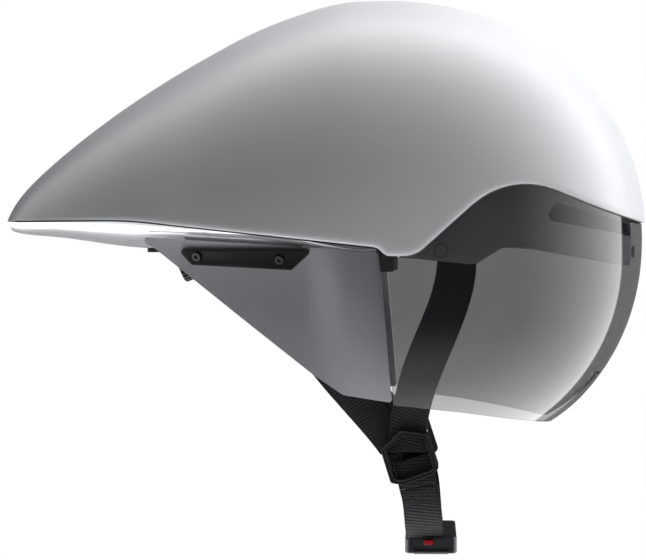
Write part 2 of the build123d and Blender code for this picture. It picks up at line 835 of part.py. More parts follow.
with BuildPart() as brow_shell:
    add(egg(BROW_INSET))
    add(egg(BROW_INSET + BROW_WALL), mode=Mode.SUBTRACT)
    add(above_brow(0.0), mode=Mode.INTERSECT)
    add(arch_pocket(BROW_TUCK), mode=Mode.INTERSECT)
    add(slot, mode=Mode.SUBTRACT)
    for seat in brow_magnet_planes:
        add(rod(seat, MAGNET_R + MAGNET_SEAT_GAP, -BROW_INSET, BROW_INSET),
            mode=Mode.SUBTRACT)
nodes["brow_shell"] = brow_shell

lug_outline = [
    (PLATE_TOP_BACK_X + LUG_MARGIN, LUG_TOP_Z),
    (PLATE_LOW_BACK_X + LUG_MARGIN, PLATE_LOW_BACK_Z + LUG_MARGIN / 2),
    (PLATE_LOW_FRONT_X, PLATE_LOW_FRONT_Z + LUG_MARGIN / 2),
    (PLATE_TOP_FRONT_X - LUG_MARGIN, LUG_TOP_Z),
]
with BuildPart() as lug:
    add(panel_sheet(-PANEL_WALL - PLATE_GAP, LUG_WALL))
    add(side_prism(lug_outline, PANEL_CORNER_R), mode=Mode.INTERSECT)
    add(bowl_inner, mode=Mode.SUBTRACT)
    add(rear_web_room, mode=Mode.SUBTRACT)
    for seat in screws:
        add(hex_rod(seat, INSERT_R + INSERT_GAP, -INSERT_START - INSERT_LENGTH - INSERT_GAP,
                    -INSERT_START + INSERT_GAP), mode=Mode.SUBTRACT)
        add(rod(seat, SCREW_R + HOLE_GAP, -INSERT_START, 0), mode=Mode.SUBTRACT)

with BuildPart() as head_opening:
    with BuildSketch():
        with Locations((HEAD_X, 0)):
            Ellipse(HEAD_LENGTH + OPENING_GROW, HEAD_WIDTH + OPENING_GROW)
    extrude(amount=OVERRUN, both=True)

with BuildPart() as housing_recess:
    with BuildSketch(dial_plane.offset(-HOUSING_DEPTH * 2)):
        Rectangle(HOUSING_HALF_WIDTH * 2 + RECESS_GAP * 2, HOUSING_HEIGHT + RECESS_GAP * 2)
    extrude(amount=HOUSING_DEPTH * 2 + RECESS_GAP)

with BuildPart() as lower_shell:
    add(underbody(0.0))
    add(bowl_inner, mode=Mode.SUBTRACT)
    add(above_rim(LENS_SEAM), mode=Mode.SUBTRACT)
    add(block(-SPAN * 2, LOBE_BACK_X - LENS_SEAM, -SPAN, SPAN, LOWEST, HIGHEST),
        mode=Mode.INTERSECT)
    add(lug.part)
    add(mirrored(lug.part))
    add(head_opening.part, mode=Mode.SUBTRACT)
    add(dial_recess, mode=Mode.SUBTRACT)
    add(housing_recess.part, mode=Mode.SUBTRACT)
    add(bumper_room, mode=Mode.SUBTRACT)
    add(rear_pocket, mode=Mode.SUBTRACT)
    add(mirrored(rear_pocket), mode=Mode.SUBTRACT)
nodes["lower_shell"] = lower_shell

# Foam, cut for the head, the air channels and what is let into it
with BuildPart() as channels:
    add(head_form(CHANNEL_GROW)[0])
    add(block(-SPAN, SPAN, CHANNEL_AT_Y - CHANNEL_HALF_WIDTH, CHANNEL_AT_Y + CHANNEL_HALF_WIDTH,
              CHANNEL_LOW_Z, HIGHEST), mode=Mode.INTERSECT)

with BuildPart() as foam_room:
    add(rim_prism)
    add(underbody(LOWER_WALL + BOND_GAP * 2))

with BuildPart() as brow_core:
    add(egg(BROW_INSET + BROW_WALL + BOND_GAP))
    add(above_brow(-FOAM_LIFT), mode=Mode.INTERSECT)

with BuildPart() as liner:
    add(egg(SHELL_WALL + BOND_GAP))
    add(foam_room.part, mode=Mode.INTERSECT)
    add(arch_pocket(BROW_TUCK + BOND_GAP), mode=Mode.SUBTRACT)
    add(brow_core.part)
    add(dome, mode=Mode.SUBTRACT)
    add(skirt, mode=Mode.SUBTRACT)
    add(channels.part, mode=Mode.SUBTRACT)
    add(mirrored(channels.part), mode=Mode.SUBTRACT)
    for side in (-1, 1):
        add(block(INTAKE_X, SPAN, side * INTAKE_Y - INTAKE_WIDTH / 2,
                  side * INTAKE_Y + INTAKE_WIDTH / 2, INTAKE_Z - INTAKE_HEIGHT / 2,
                  INTAKE_Z + INTAKE_HEIGHT / 2), mode=Mode.SUBTRACT)
    add(dial_recess, mode=Mode.SUBTRACT)
    add(housing_recess.part, mode=Mode.SUBTRACT)
    add(bumper_room, mode=Mode.SUBTRACT)
    for room in (front_web_room, rear_web_room):
        add(room, mode=Mode.SUBTRACT)
        add(mirrored(room), mode=Mode.SUBTRACT)
    add(front_pocket, mode=Mode.SUBTRACT)
    add(mirrored(front_pocket), mode=Mode.SUBTRACT)
    add(rear_pocket, mode=Mode.SUBTRACT)
    add(mirrored(rear_pocket), mode=Mode.SUBTRACT)
    pin_hole = rod(pin_plane, PIN_R + HOLE_GAP, 0, PIN_LENGTH + HOLE_GAP)
    add(pin_hole, mode=Mode.SUBTRACT)
    add(mirrored(pin_hole), mode=Mode.SUBTRACT)
nodes["liner"] = liner

# Lens and its magnets
with BuildPart() as lens:
    add(egg(LENS_INSET))
    add(egg(LENS_INSET + LENS_WALL), mode=Mode.SUBTRACT)
    add(lens_outline(), mode=Mode.INTERSECT)
    add(above_rim(LENS_SEAM), mode=Mode.SUBTRACT)
    for (x, z), share in zip(LENS_HOLE_AT, lens_hole_reach_shares):
        for side in (-1, 1):
            turn = math.radians(LENS_HOLE_TURN)
            facing = (math.cos(turn), side * math.sin(turn), 0)
            hole = Plane(origin=(x, side * share * HALF_WIDTH, z), z_dir=facing)
            add(rod(hole, LENS_HOLE_R, -LENS_WALL * 2, LENS_WALL), mode=Mode.SUBTRACT)
nodes["lens"] = lens

with BuildPart() as lens_magnets:
    for seat in lens_magnet_planes:
        add(rod(seat, MAGNET_R, -MAGNET_THICKNESS, 0))
nodes["lens_magnets"] = lens_magnets

with BuildPart() as brow_magnets:
    for seat in brow_magnet_planes:
        add(rod(seat, MAGNET_R, -MAGNET_THICKNESS, 0))
nodes["brow_magnets"] = brow_magnets

# Ear panels with their bracket plates and screws
panel_outline = [
    (PANEL_TIP_X, PANEL_TIP_Z),
    (PANEL_TOP_MID_X, PANEL_TOP_MID_Z),
    (PANEL_TOP_X, PANEL_TOP_Z),
    (PANEL_FRONT_TOP_X, PANEL_FRONT_TOP_Z),
    (PANEL_FRONT_LOW_X, PANEL_FRONT_LOW_Z),
    (PANEL_CHIN_X, PANEL_CHIN_Z),
    (PANEL_SWEEP_X, PANEL_SWEEP_Z),
    (PANEL_BACK_X, PANEL_BACK_Z),
]
with BuildPart() as wing_panel_right:
    add(panel_sheet(0.0, PANEL_WALL))
    add(side_prism(panel_outline, PANEL_CORNER_R), mode=Mode.INTERSECT)
    for seat in screws:
        add(rod(seat, SCREW_R + HOLE_GAP, -LUG_WALL, LUG_WALL), mode=Mode.SUBTRACT)
nodes["wing_panel_right"] = wing_panel_right

plate_outline = [
    (PLATE_TOP_BACK_X, PLATE_TOP_Z),
    (PLATE_LOW_BACK_X, PLATE_LOW_BACK_Z),
    (PLATE_LOW_FRONT_X, PLATE_LOW_FRONT_Z),
    (PLATE_TOP_FRONT_X, PLATE_TOP_Z),
]
with BuildPart() as bracket_plate_right:
    add(plate_sheet)
    add(side_prism(plate_outline, PANEL_CORNER_R), mode=Mode.INTERSECT)
    for seat in screws:
        add(rod(seat, SCREW_R + HOLE_GAP, -LUG_WALL, LUG_WALL), mode=Mode.SUBTRACT)
        add(rod(seat, SCREW_HEAD_R + HOLE_GAP, -SCREW_SEAT, LUG_WALL), mode=Mode.SUBTRACT)
nodes["bracket_plate_right"] = bracket_plate_right

for name in ("wing_panel", "bracket_plate"):
    with BuildPart() as left:
        add(mirrored(nodes[name + "_right"].part))
    nodes[name + "_left"] = left

with BuildPart() as panel_screws:
    for seat in screws:
        add(rod(seat, SCREW_R, -SCREW_SEAT - SCREW_LENGTH, -SCREW_SEAT))
        add(rod(seat, SCREW_HEAD_R, -SCREW_SEAT + PLATE_GAP / 3, -SCREW_SEAT + SCREW_HEAD))
        add(rod(seat, SCREW_R, -SCREW_SEAT, -SCREW_SEAT + SCREW_HEAD))
        add(hex_rod(seat, SOCKET_R, -SCREW_SEAT + SCREW_HEAD - SOCKET_DEPTH,
                    -SCREW_SEAT + SCREW_HEAD), mode=Mode.SUBTRACT)
    add(mirrored(panel_screws.part))
nodes["panel_screws"] = panel_screws

with BuildPart() as screw_inserts:
    for seat in screws:
        add(hex_rod(seat, INSERT_R, -INSERT_START - INSERT_LENGTH, -INSERT_START))
        add(rod(seat, SCREW_R + HOLE_GAP, -INSERT_START - INSERT_LENGTH, -INSERT_START),
            mode=Mode.SUBTRACT)
    add(mirrored(screw_inserts.part))
nodes["screw_inserts"] = screw_inserts

# Fit pads
with BuildPart() as brow_pad:
    add(pad(BROW_PAD_X, SPAN, -SPAN, SPAN, BROW_PAD_LOW_Z, BROW_PAD_TOP_Z))
nodes["brow_pad"] = brow_pad
with BuildPart() as crown_pad:
    add(pad(CROWN_PAD_BACK_X, CROWN_PAD_FRONT_X, -CROWN_PAD_HALF_WIDTH, CROWN_PAD_HALF_WIDTH,
            CHANNEL_LOW_Z, HIGHEST))
nodes["crown_pad"] = crown_pad
with BuildPart() as side_pad_right:
    add(pad(SIDE_PAD_BACK_X, SIDE_PAD_FRONT_X, -SPAN, 0, SIDE_PAD_LOW_Z, SIDE_PAD_TOP_Z))
nodes["side_pad_right"] = side_pad_right
with BuildPart() as side_pad_left:
    add(mirrored(side_pad_right.part))
nodes["side_pad_left"] = side_pad_left
with BuildPart() as rear_pad:
    add(pad(-SPAN, REAR_PAD_X, -SPAN, SPAN, REAR_PAD_LOW_Z, REAR_PAD_TOP_Z))
    add(side_pad_right.part, mode=Mode.SUBTRACT)
    add(side_pad_left.part, mode=Mode.SUBTRACT)
nodes["rear_pad"] = rear_pad

# Ribbed bumper behind the dial
with BuildPart() as rear_bumper:
    with Locations((BUMPER_X, 0, BUMPER_Z)):
        Box(BUMPER_LENGTH - BOND_GAP * 2, BUMPER_WIDTH - BOND_GAP * 2,
            BUMPER_HEIGHT)
    fillet(rear_bumper.edges().filter_by(Axis.Z), BUMPER_CORNER)
    rib_pitch = (BUMPER_WIDTH - BUMPER_CORNER * 2) / BUMPER_RIBS
    with Locations((BUMPER_X, 0, BUMPER_Z - BUMPER_HEIGHT / 2)):
        with GridLocations(1.0, rib_pitch, 1, BUMPER_RIBS):
            Box(BUMPER_LENGTH, BUMPER_GROOVE, BUMPER_GROOVE, mode=Mode.SUBTRACT)
nodes["rear_bumper"] = rear_bumper

# Webbing, plugs and dividers
with BuildPart() as front_strap_right:
    add(strap(front_web))
nodes["front_strap_right"] = front_strap_right
with BuildPart() as rear_strap_right:
    add(strap(rear_web))
nodes["rear_strap_right"] = rear_strap_right
with BuildPart() as strap_loop_right:
    add(strap(loop_web))
nodes["strap_loop_right"] = strap_loop_right
with BuildPart() as lower_strap_right:
    add(strap(lower_web))
nodes["lower_strap_right"] = lower_strap_right
with BuildPart() as strap_plugs:
    for place, level, room in (
        (front_web[0], FRONT_ANCHOR_Z, front_web_room),
        (rear_web[0], REAR_ANCHOR_Z, rear_web_room),
    ):
        add(anchor_block(place, level))
        add(room, mode=Mode.SUBTRACT)
    add(mirrored(strap_plugs.part))
nodes["strap_plugs"] = strap_plugs

ring_x, ring_z = RING_AT
ring_reach = front_web[-1][1] + RING_PROUD
lean = math.radians(RING_LEAN)
ring_plane = Plane(origin=(ring_x, -ring_reach, ring_z), x_dir=(1, 0, 0),
                   z_dir=(0, -math.cos(lean), -math.sin(lean)))
ring_corners = [(x * RING_REACH, y * RING_REACH) for x, y in ring_outline_shares]
with BuildPart() as divider_right:
    for start, depth in ((0.0, RING_THICKNESS), (-RING_BACK_AT - RING_BACK, RING_BACK)):
        with BuildSketch(ring_plane.offset(start)) as outline:
            with BuildLine():
                FilletPolyline(*ring_corners, radius=RING_CORNER, close=True)
            make_face()
            offset(amount=-RING_BAR, mode=Mode.SUBTRACT)
        extrude(amount=depth)
    with BuildSketch(ring_plane.offset(-RING_BACK_AT - RING_BACK)):
        with Locations(RING_POST_AT):
            Circle(RING_POST / 2)
    extrude(amount=RING_BACK_AT + RING_BACK + RING_THICKNESS)
nodes["divider_right"] = divider_right

# Buckle: a body on the right strap and a clip under it on the left strap
lower_web_room = strap(lower_web, WEB_GAP)
with BuildPart() as buckle_body:
    add(block(BUCKLE_X - BUCKLE_WIDTH / 2, BUCKLE_X + BUCKLE_WIDTH / 2,
              -BUCKLE_OUTER_Y, BUCKLE_INNER_Y,
              BUCKLE_TOP_Z - BUCKLE_THICKNESS, BUCKLE_TOP_Z))
    fillet(buckle_body.edges().filter_by(Axis.Z), BUCKLE_CORNER)
    fillet(buckle_body.edges().group_by(Axis.Z)[0], BUCKLE_EDGE)
    fillet(buckle_body.edges().group_by(Axis.Z)[-1], BUCKLE_EDGE)
    add(lower_web_room, mode=Mode.SUBTRACT)
    add(block(TAB_X - TAB_WIDTH / 2 - TAB_GAP, TAB_X + TAB_WIDTH / 2 + TAB_GAP,
              -BUCKLE_OUTER_Y - TAB_LENGTH, -BUCKLE_OUTER_Y + TAB_LENGTH,
              TAB_Z - TAB_HEIGHT / 2 - TAB_GAP, TAB_Z + TAB_HEIGHT / 2 + TAB_GAP),
        mode=Mode.SUBTRACT)
    add(block(BUCKLE_X - BUCKLE_WIDTH / 2 + FACE_RIM, BUCKLE_X + BUCKLE_WIDTH / 2 - FACE_RIM,
              -BUCKLE_OUTER_Y, -BUCKLE_OUTER_Y + FACE_DEPTH,
              BUCKLE_TOP_Z - BUCKLE_THICKNESS + FACE_FOOT,
              TAB_Z - TAB_HEIGHT / 2 - FACE_DEPTH),
        mode=Mode.SUBTRACT)
    with BuildSketch(Plane.XY.offset(BUCKLE_TOP_Z - BUCKLE_THICKNESS)):
        with Locations((BUCKLE_X, 0)):
            Circle(BUCKLE_MAGNET_R + HOLE_GAP)
    extrude(amount=BUCKLE_MAGNET + HOLE_GAP, mode=Mode.SUBTRACT)
nodes["buckle_body"] = buckle_body

clip_top = BUCKLE_TOP_Z - BUCKLE_THICKNESS - CLIP_GAP
with BuildPart() as buckle_clip:
    add(block(BUCKLE_X - BUCKLE_WIDTH / 2, BUCKLE_X + BUCKLE_WIDTH / 2,
              BUCKLE_INNER_Y + CLIP_GAP, BUCKLE_OUTER_Y, clip_top - CLIP_THICKNESS,
              BUCKLE_TOP_Z))
    fillet(buckle_clip.edges().filter_by(Axis.Z), BUCKLE_CORNER)
    fillet(buckle_clip.edges().group_by(Axis.Z)[-1], BUCKLE_EDGE)
    add(block(BUCKLE_X - TONGUE_WIDTH / 2, BUCKLE_X + TONGUE_WIDTH / 2,
              -CLIP_TONGUE_Y, BUCKLE_INNER_Y + BUCKLE_CORNER * 2,
              clip_top - CLIP_THICKNESS, clip_top))
    add(mirrored(lower_web_room), mode=Mode.SUBTRACT)
    with BuildSketch(Plane.XY.offset(clip_top)):
        with Locations((BUCKLE_X, 0)):
            Circle(BUCKLE_MAGNET_R + HOLE_GAP)
    extrude(amount=-BUCKLE_MAGNET - HOLE_GAP, mode=Mode.SUBTRACT)
nodes["buckle_clip"] = buckle_clip

magnet_axis = Plane(origin=(BUCKLE_X, 0, clip_top + CLIP_GAP), z_dir=(0, 0, 1))
with BuildPart() as body_magnet:
    add(rod(magnet_axis, BUCKLE_MAGNET_R, 0, BUCKLE_MAGNET))
nodes["body_magnet"] = body_magnet
with BuildPart() as clip_magnet:
    add(rod(magnet_axis, BUCKLE_MAGNET_R, -CLIP_GAP - BUCKLE_MAGNET, -CLIP_GAP))
nodes["clip_magnet"] = clip_magnet
with BuildPart() as release_tab:
    add(block(TAB_X - TAB_WIDTH / 2, TAB_X + TAB_WIDTH / 2,
              -BUCKLE_OUTER_Y - TAB_PROUD, -BUCKLE_OUTER_Y + TAB_LENGTH - TAB_TRAVEL - TAB_GAP,
              TAB_Z - TAB_HEIGHT / 2, TAB_Z + TAB_HEIGHT / 2))
nodes["release_tab"] = release_tab

for name in ("front_strap", "rear_strap", "strap_loop", "lower_strap", "divider"):
    with BuildPart() as left:
        add(mirrored(nodes[name + "_right"].part))
    nodes[name + "_left"] = left

# Fit system: cradle with its housing, dial, pinion and racks, and the side bands
with BuildPart() as housing_room:
    with BuildSketch(dial_plane.offset(-HOUSING_DEPTH - BACKING_GAP)):
        Rectangle(HOUSING_HALF_WIDTH * 2 + BACKING_GAP * 2, HOUSING_HEIGHT * 2)
    extrude(amount=HOUSING_DEPTH * 2)

with BuildPart() as cradle:
    add(arc_wall(CRADLE_HALF_WIDTH, CRADLE_DEPTH, CRADLE_LOW_Z, CRADLE_TOP_Z))
    add(arc_wall(CRADLE_HALF_WIDTH - CRADLE_WALL, CRADLE_DEPTH - CRADLE_WALL,
                 CRADLE_LOW_Z, CRADLE_TOP_Z), mode=Mode.SUBTRACT)
    add(block(CRADLE_ARM_X, SPAN, -SPAN, SPAN, LOWEST, HIGHEST), mode=Mode.SUBTRACT)
    with BuildSketch(dial_plane.offset(-HOUSING_DEPTH - BACKING_GAP - BACKING)):
        RectangleRounded(HOUSING_HALF_WIDTH * 2, HOUSING_HEIGHT, HOUSING_CORNER)
    extrude(amount=BACKING)
    add(housing_room.part, mode=Mode.SUBTRACT)
nodes["cradle"] = cradle

with BuildPart() as dial_housing:
    with BuildSketch(dial_plane.offset(-HOUSING_DEPTH)):
        RectangleRounded(HOUSING_HALF_WIDTH * 2, HOUSING_HEIGHT, HOUSING_CORNER)
    extrude(amount=HOUSING_DEPTH)
    with BuildSketch(dial_plane.offset(-HOUSING_DEPTH)):
        Rectangle(HOUSING_HALF_WIDTH * 2 - HOUSING_WALL * 2, HOUSING_HEIGHT - HOUSING_WALL * 2)
    extrude(amount=HOUSING_DEPTH - HOUSING_WALL, mode=Mode.SUBTRACT)
    add(rod(dial_plane, SHAFT_R + HOLE_GAP, -HOUSING_DEPTH, HOUSING_DEPTH), mode=Mode.SUBTRACT)
nodes["dial_housing"] = dial_housing

with BuildPart() as dial_knob:
    add(rod(dial_plane, KNOB_R, KNOB_GAP, KNOB_GAP + KNOB_DEPTH))
    fillet(dial_knob.edges().group_by(Axis(dial_plane.origin, dial_facing))[-1], KNOB_EDGE)
    with BuildSketch(dial_plane.offset(KNOB_GAP)):
        with PolarLocations(KNOB_R, KNOB_RIBS):
            Circle(KNOB_RIB_R)
    extrude(amount=KNOB_DEPTH, mode=Mode.SUBTRACT)
    with BuildSketch(dial_plane.offset(KNOB_GAP)):
        Rectangle(SHAFT_SQUARE + SHAFT_GAP * 2, SHAFT_SQUARE + SHAFT_GAP * 2)
    extrude(amount=SHAFT_REACH + SHAFT_GAP, mode=Mode.SUBTRACT)
nodes["dial_knob"] = dial_knob

with BuildPart() as pinion:
    with BuildSketch(dial_plane.offset(-PINION_AT - PINION_DEPTH)):
        Circle(MODULE * (PINION_TEETH / 2 - tooth_in_share))
        with PolarLocations(0.0, PINION_TEETH):
            Polygon(
                (0, -MODULE * tooth_root_share),
                (MODULE * (PINION_TEETH / 2 - tooth_in_share), -MODULE * tooth_root_share),
                (MODULE * (PINION_TEETH / 2 + tooth_out_share), -MODULE * tooth_tip_share),
                (MODULE * (PINION_TEETH / 2 + tooth_out_share), MODULE * tooth_tip_share),
                (MODULE * (PINION_TEETH / 2 - tooth_in_share), MODULE * tooth_root_share),
                (0, MODULE * tooth_root_share),
                align=None,
            )
    extrude(amount=PINION_DEPTH)
    add(rod(dial_plane, SHAFT_R, -PINION_AT, KNOB_GAP / 2))
    with BuildSketch(dial_plane):
        Rectangle(SHAFT_SQUARE, SHAFT_SQUARE)
    extrude(amount=KNOB_GAP + SHAFT_REACH)
nodes["pinion"] = pinion

with BuildPart() as rack_left:
    add(rack(1))
nodes["rack_left"] = rack_left
with BuildPart() as rack_right:
    add(rack(-1))
nodes["rack_right"] = rack_right

band_reach = CRADLE_HALF_WIDTH - CRADLE_WALL - BAND_GAP - BAND_WALL
with BuildPart() as band_right:
    with BuildSketch(Plane.XY.offset(BAND_LOW_Z)):
        with BuildLine():
            straight = Line((BAND_BACK_X, -band_reach), (BAND_BEND_X, -band_reach))
            flare = Spline(
                straight @ 1,
                (BAND_SPREAD_X, -band_spread),
                (BAND_FRONT_X, -band_front),
                tangents=[(1, 0), (1, 0)],
            )
            outer_flare = Spline(
                (BAND_FRONT_X, -band_front - BAND_WALL),
                (BAND_SPREAD_X, -band_spread - BAND_WALL),
                (BAND_BEND_X, -band_reach - BAND_WALL),
                tangents=[(-1, 0), (-1, 0)],
            )
            Line(flare @ 1, outer_flare @ 0)
            Line(outer_flare @ 1, (BAND_BACK_X, -band_reach - BAND_WALL))
            Line((BAND_BACK_X, -band_reach - BAND_WALL), straight @ 0)
        make_face()
    extrude(amount=BAND_TOP_Z - BAND_LOW_Z)
    add(block(BAND_FRONT_X - BAND_TAB_LENGTH, BAND_FRONT_X, -band_front - BAND_WALL,
              -band_front + BAND_WALL / 2, BAND_LOW_Z, BAND_TAB_TOP_Z))
    add(rod(pin_plane, PIN_R + HOLE_GAP, -BAND_WALL * 2, BAND_WALL * 2), mode=Mode.SUBTRACT)
nodes["band_right"] = band_right
with BuildPart() as band_left:
    add(mirrored(band_right.part))
nodes["band_left"] = band_left

with BuildPart() as band_pins:
    add(rod(pin_plane, PIN_HEAD_R, -PIN_HEAD - BAND_WALL, -BAND_WALL))
    add(rod(pin_plane, PIN_R, -BAND_WALL, PIN_LENGTH))
    add(mirrored(band_pins.part))
nodes["band_pins"] = band_pins

pad_out = CRADLE_WALL + NAPE_PAD_GAP
with BuildPart() as nape_pads:
    add(arc_wall(CRADLE_HALF_WIDTH - pad_out, CRADLE_DEPTH - pad_out,
                 CRADLE_LOW_Z + NAPE_PAD_MARGIN, CRADLE_TOP_Z - NAPE_PAD_MARGIN))
    add(arc_wall(CRADLE_HALF_WIDTH - pad_out - NAPE_PAD, CRADLE_DEPTH - pad_out - NAPE_PAD,
                 CRADLE_LOW_Z, CRADLE_TOP_Z), mode=Mode.SUBTRACT)
    add(block(-SPAN, CRADLE_CENTRE_X, NAPE_PAD_INNER_Y, NAPE_PAD_OUTER_Y, LOWEST, HIGHEST),
        mode=Mode.INTERSECT)
    add(mirrored(nape_pads.part))
nodes["nape_pads"] = nape_pads

for name, node in nodes.items():
    node.part.label = name
    export_step(node.part, f"parts/{name}.step")
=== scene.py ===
"""Looks of the aero time trial helmet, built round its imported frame.

The shell and the lens are rebuilt here from the rule that shaped them, as clean meshes. The
brow skin, the hard pieces and the webbing are tidied copies of their solids, and the webbing
gets a weave that follows each strap. The pads are remeshed and swollen as cloth.
"""

import logging
import math
from bisect import bisect_left
from contextlib import contextmanager
from dataclasses import dataclass, field
from enum import Enum
from typing import Any, Callable, Iterable, Iterator, Optional, Sequence

import bmesh
import bpy
from mathutils import Matrix, Vector


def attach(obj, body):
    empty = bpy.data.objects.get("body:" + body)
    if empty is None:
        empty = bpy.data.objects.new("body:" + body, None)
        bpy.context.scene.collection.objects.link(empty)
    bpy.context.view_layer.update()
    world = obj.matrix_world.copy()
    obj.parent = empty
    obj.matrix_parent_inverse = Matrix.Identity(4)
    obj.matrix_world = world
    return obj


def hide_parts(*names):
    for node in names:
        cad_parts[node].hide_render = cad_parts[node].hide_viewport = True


log = logging.getLogger("helmet")

MM = 0.001
Point = tuple[float, float]
Place = tuple[float, float, float]
SIDES = ("right", "left")

CORNER_STEPS = 8
HALVINGS = 40
# Points nearer than this are one, and faces that turn less than this are one flat face
MERGE_MM = 0.002
FLAT_DEG = 1
# Edges that turn more than these stay sharp on walls, copies, bevelled copies and pads
WALL_SMOOTH_DEG = 35
COPY_SMOOTH_DEG = 30
BEVEL_SMOOTH_DEG = 48
PAD_SMOOTH_DEG = 60
# Only edges that turn more than this are bevelled
HARD_EDGE_DEG = 40
BEVEL_SEGMENTS = 2


def linear(hex_colour: str) -> tuple[float, float, float, float]:
    """Turns an sRGB hex colour to the linear values a shader wants.

    Args:
        hex_colour: six hex digits after a hash.

    Returns:
        Linear red, green, blue and a full alpha.
    """
    digits = hex_colour.lstrip("#")
    parts = [int(digits[i : i + 2], 16) / 255 for i in (0, 2, 4)]
    curve = [p / 12.92 if p <= 0.04045 else ((p + 0.055) / 1.055) ** 2.4 for p in parts]
    return (curve[0], curve[1], curve[2], 1.0)


WHITE = linear("#ffffff")


def add_node(tree: Any, kind: str, inputs: Optional[dict] = None, **settings: Any) -> Any:
    """Adds one node with its settings, input values and links.

    Args:
        tree: the node tree to add to.
        kind: the node's type name.
        inputs: socket name or index to a value, to an output socket to link from, or to a
            node whose first output is linked.
        settings: properties of the node itself.

    Returns:
        The new node.
    """
    node = tree.nodes.new(kind)
    for name, value in settings.items():
        setattr(node, name, value)
    for name, value in (inputs or {}).items():
        source = value.outputs[0] if isinstance(value, bpy.types.Node) else value
        if isinstance(source, bpy.types.NodeSocket):
            tree.links.new(source, node.inputs[name])
        else:
            node.inputs[name].default_value = source
    return node


class Grain(Enum):
    """How a surface was made, which decides its fine texture."""

    SPRAYED = "sprayed"
    MOULDED = "moulded"
    SPARKED = "sparked"
    KNITTED = "knitted"
    BEADED = "beaded"
    TURNED = "turned"


class Surface:
    """A material that is built when it is first asked for."""

    name: str

    def material(self) -> Any:
        """Builds the material once, and from then on hands out the same one.

        Returns:
            The material.
        """
        known = bpy.data.materials.get(self.name)
        if known:
            return known
        made = bpy.data.materials.new(self.name)
        made.use_nodes = True
        tree = made.node_tree
        tree.nodes.clear()
        add_node(tree, "ShaderNodeOutputMaterial", {"Surface": self.shader(tree)})
        return made

    def shader(self, tree: Any) -> Any:
        """Adds the surface's nodes and gives back the one that ends them."""
        raise NotImplementedError


@dataclass(frozen=True)
class Finish(Surface):
    """A real material and how its surface was made."""

    name: str
    colour: str
    second: str
    grain: Grain
    roughness: float
    size_mm: float
    depth_mm: float
    metallic: float = 0.0
    ior: float = 1.5
    coat: float = 0.0
    # A line along which the colour runs from the first to the second: painted shade
    shade_fade: Optional[tuple[Place, Place]] = None
    coat_roughness: float = 0.12
    cloud_grains: int = 12
    handling_mm: float = 18.0
    gloss_range: Point = (0.9, 1.12)
    relief: float = 0.6

    def shader(self, tree: Any) -> Any:
        """Adds the shader with its colour, gloss and grain on object coordinates.

        Args:
            tree: the material's node tree.

        Returns:
            The shader node.
        """
        values = {"Roughness": self.roughness, "Metallic": self.metallic, "IOR": self.ior}
        if self.coat:
            values.update({"Coat Weight": self.coat, "Coat Roughness": self.coat_roughness})
        shader = add_node(tree, "ShaderNodeBsdfPrincipled", values)
        place = add_node(tree, "ShaderNodeTexCoord").outputs["Object"]
        tree.links.new(self._colour(tree, place), shader.inputs["Base Color"])
        tree.links.new(self._gloss(tree, place), shader.inputs["Roughness"])
        tree.links.new(self._relief(tree, place), shader.inputs["Normal"])
        return shader

    def _colour(self, tree: Any, place: Any) -> Any:
        """The base colour, which runs to the second one along a line, as painted shade, or in slow
        clouds.

        Args:
            tree: the material's node tree.
            place: the socket with object coordinates.

        Returns:
            The colour socket.
        """
        if self.shade_fade:
            start, end = (Vector(p) for p in self.shade_fade)
            way = (end - start) / (end - start).length_squared
            shift = add_node(
                tree, "ShaderNodeVectorMath", {0: place, 1: start}, operation="SUBTRACT"
            )
            along = add_node(
                tree, "ShaderNodeVectorMath", {0: shift, 1: way}, operation="DOT_PRODUCT"
            )
            share = add_node(tree, "ShaderNodeMapRange", {"Value": along.outputs["Value"]})
        else:
            scale = 1 / (self.size_mm * self.cloud_grains * MM)
            share = add_node(
                tree, "ShaderNodeTexNoise", {"Vector": place, "Scale": scale, "Detail": 3.0}
            )
        ends = {0: share, 6: linear(self.colour), 7: linear(self.second)}
        return add_node(tree, "ShaderNodeMix", ends, data_type="RGBA").outputs[2]

    def _gloss(self, tree: Any, place: Any) -> Any:
        """Roughness with the slight unevenness of handling and mould flow.

        Args:
            tree: the material's node tree.
            place: the socket with object coordinates.

        Returns:
            The roughness socket.
        """
        scale = 1 / (self.handling_mm * MM)
        cloud = add_node(
            tree,
            "ShaderNodeTexNoise",
            {"Vector": place, "Scale": scale, "Detail": 4.0, "Roughness": 0.6},
        )
        glossier, duller = self.gloss_range
        low, high = self.roughness * glossier, min(self.roughness * duller, 1.0)
        spread = add_node(
            tree, "ShaderNodeMapRange", {"Value": cloud, "To Min": low, "To Max": high}
        )
        return spread.outputs["Result"]

    def _relief(self, tree: Any, place: Any) -> Any:
        """The bump of the surface's grain, at its real size.

        Args:
            tree: the material's node tree.
            place: the socket with object coordinates.

        Returns:
            The normal socket.
        """
        pattern = {"Vector": place, "Scale": 1 / (self.size_mm * MM)}
        if self.grain in (Grain.BEADED, Grain.KNITTED):
            height = add_node(tree, "ShaderNodeTexVoronoi", pattern)
        else:
            pattern["Detail"] = 8.0 if self.grain is Grain.SPARKED else 2.0
            height = add_node(tree, "ShaderNodeTexNoise", pattern)
        bump = {"Height": height, "Distance": self.depth_mm * MM, "Strength": self.relief}
        return add_node(tree, "ShaderNodeBump", bump).outputs["Normal"]


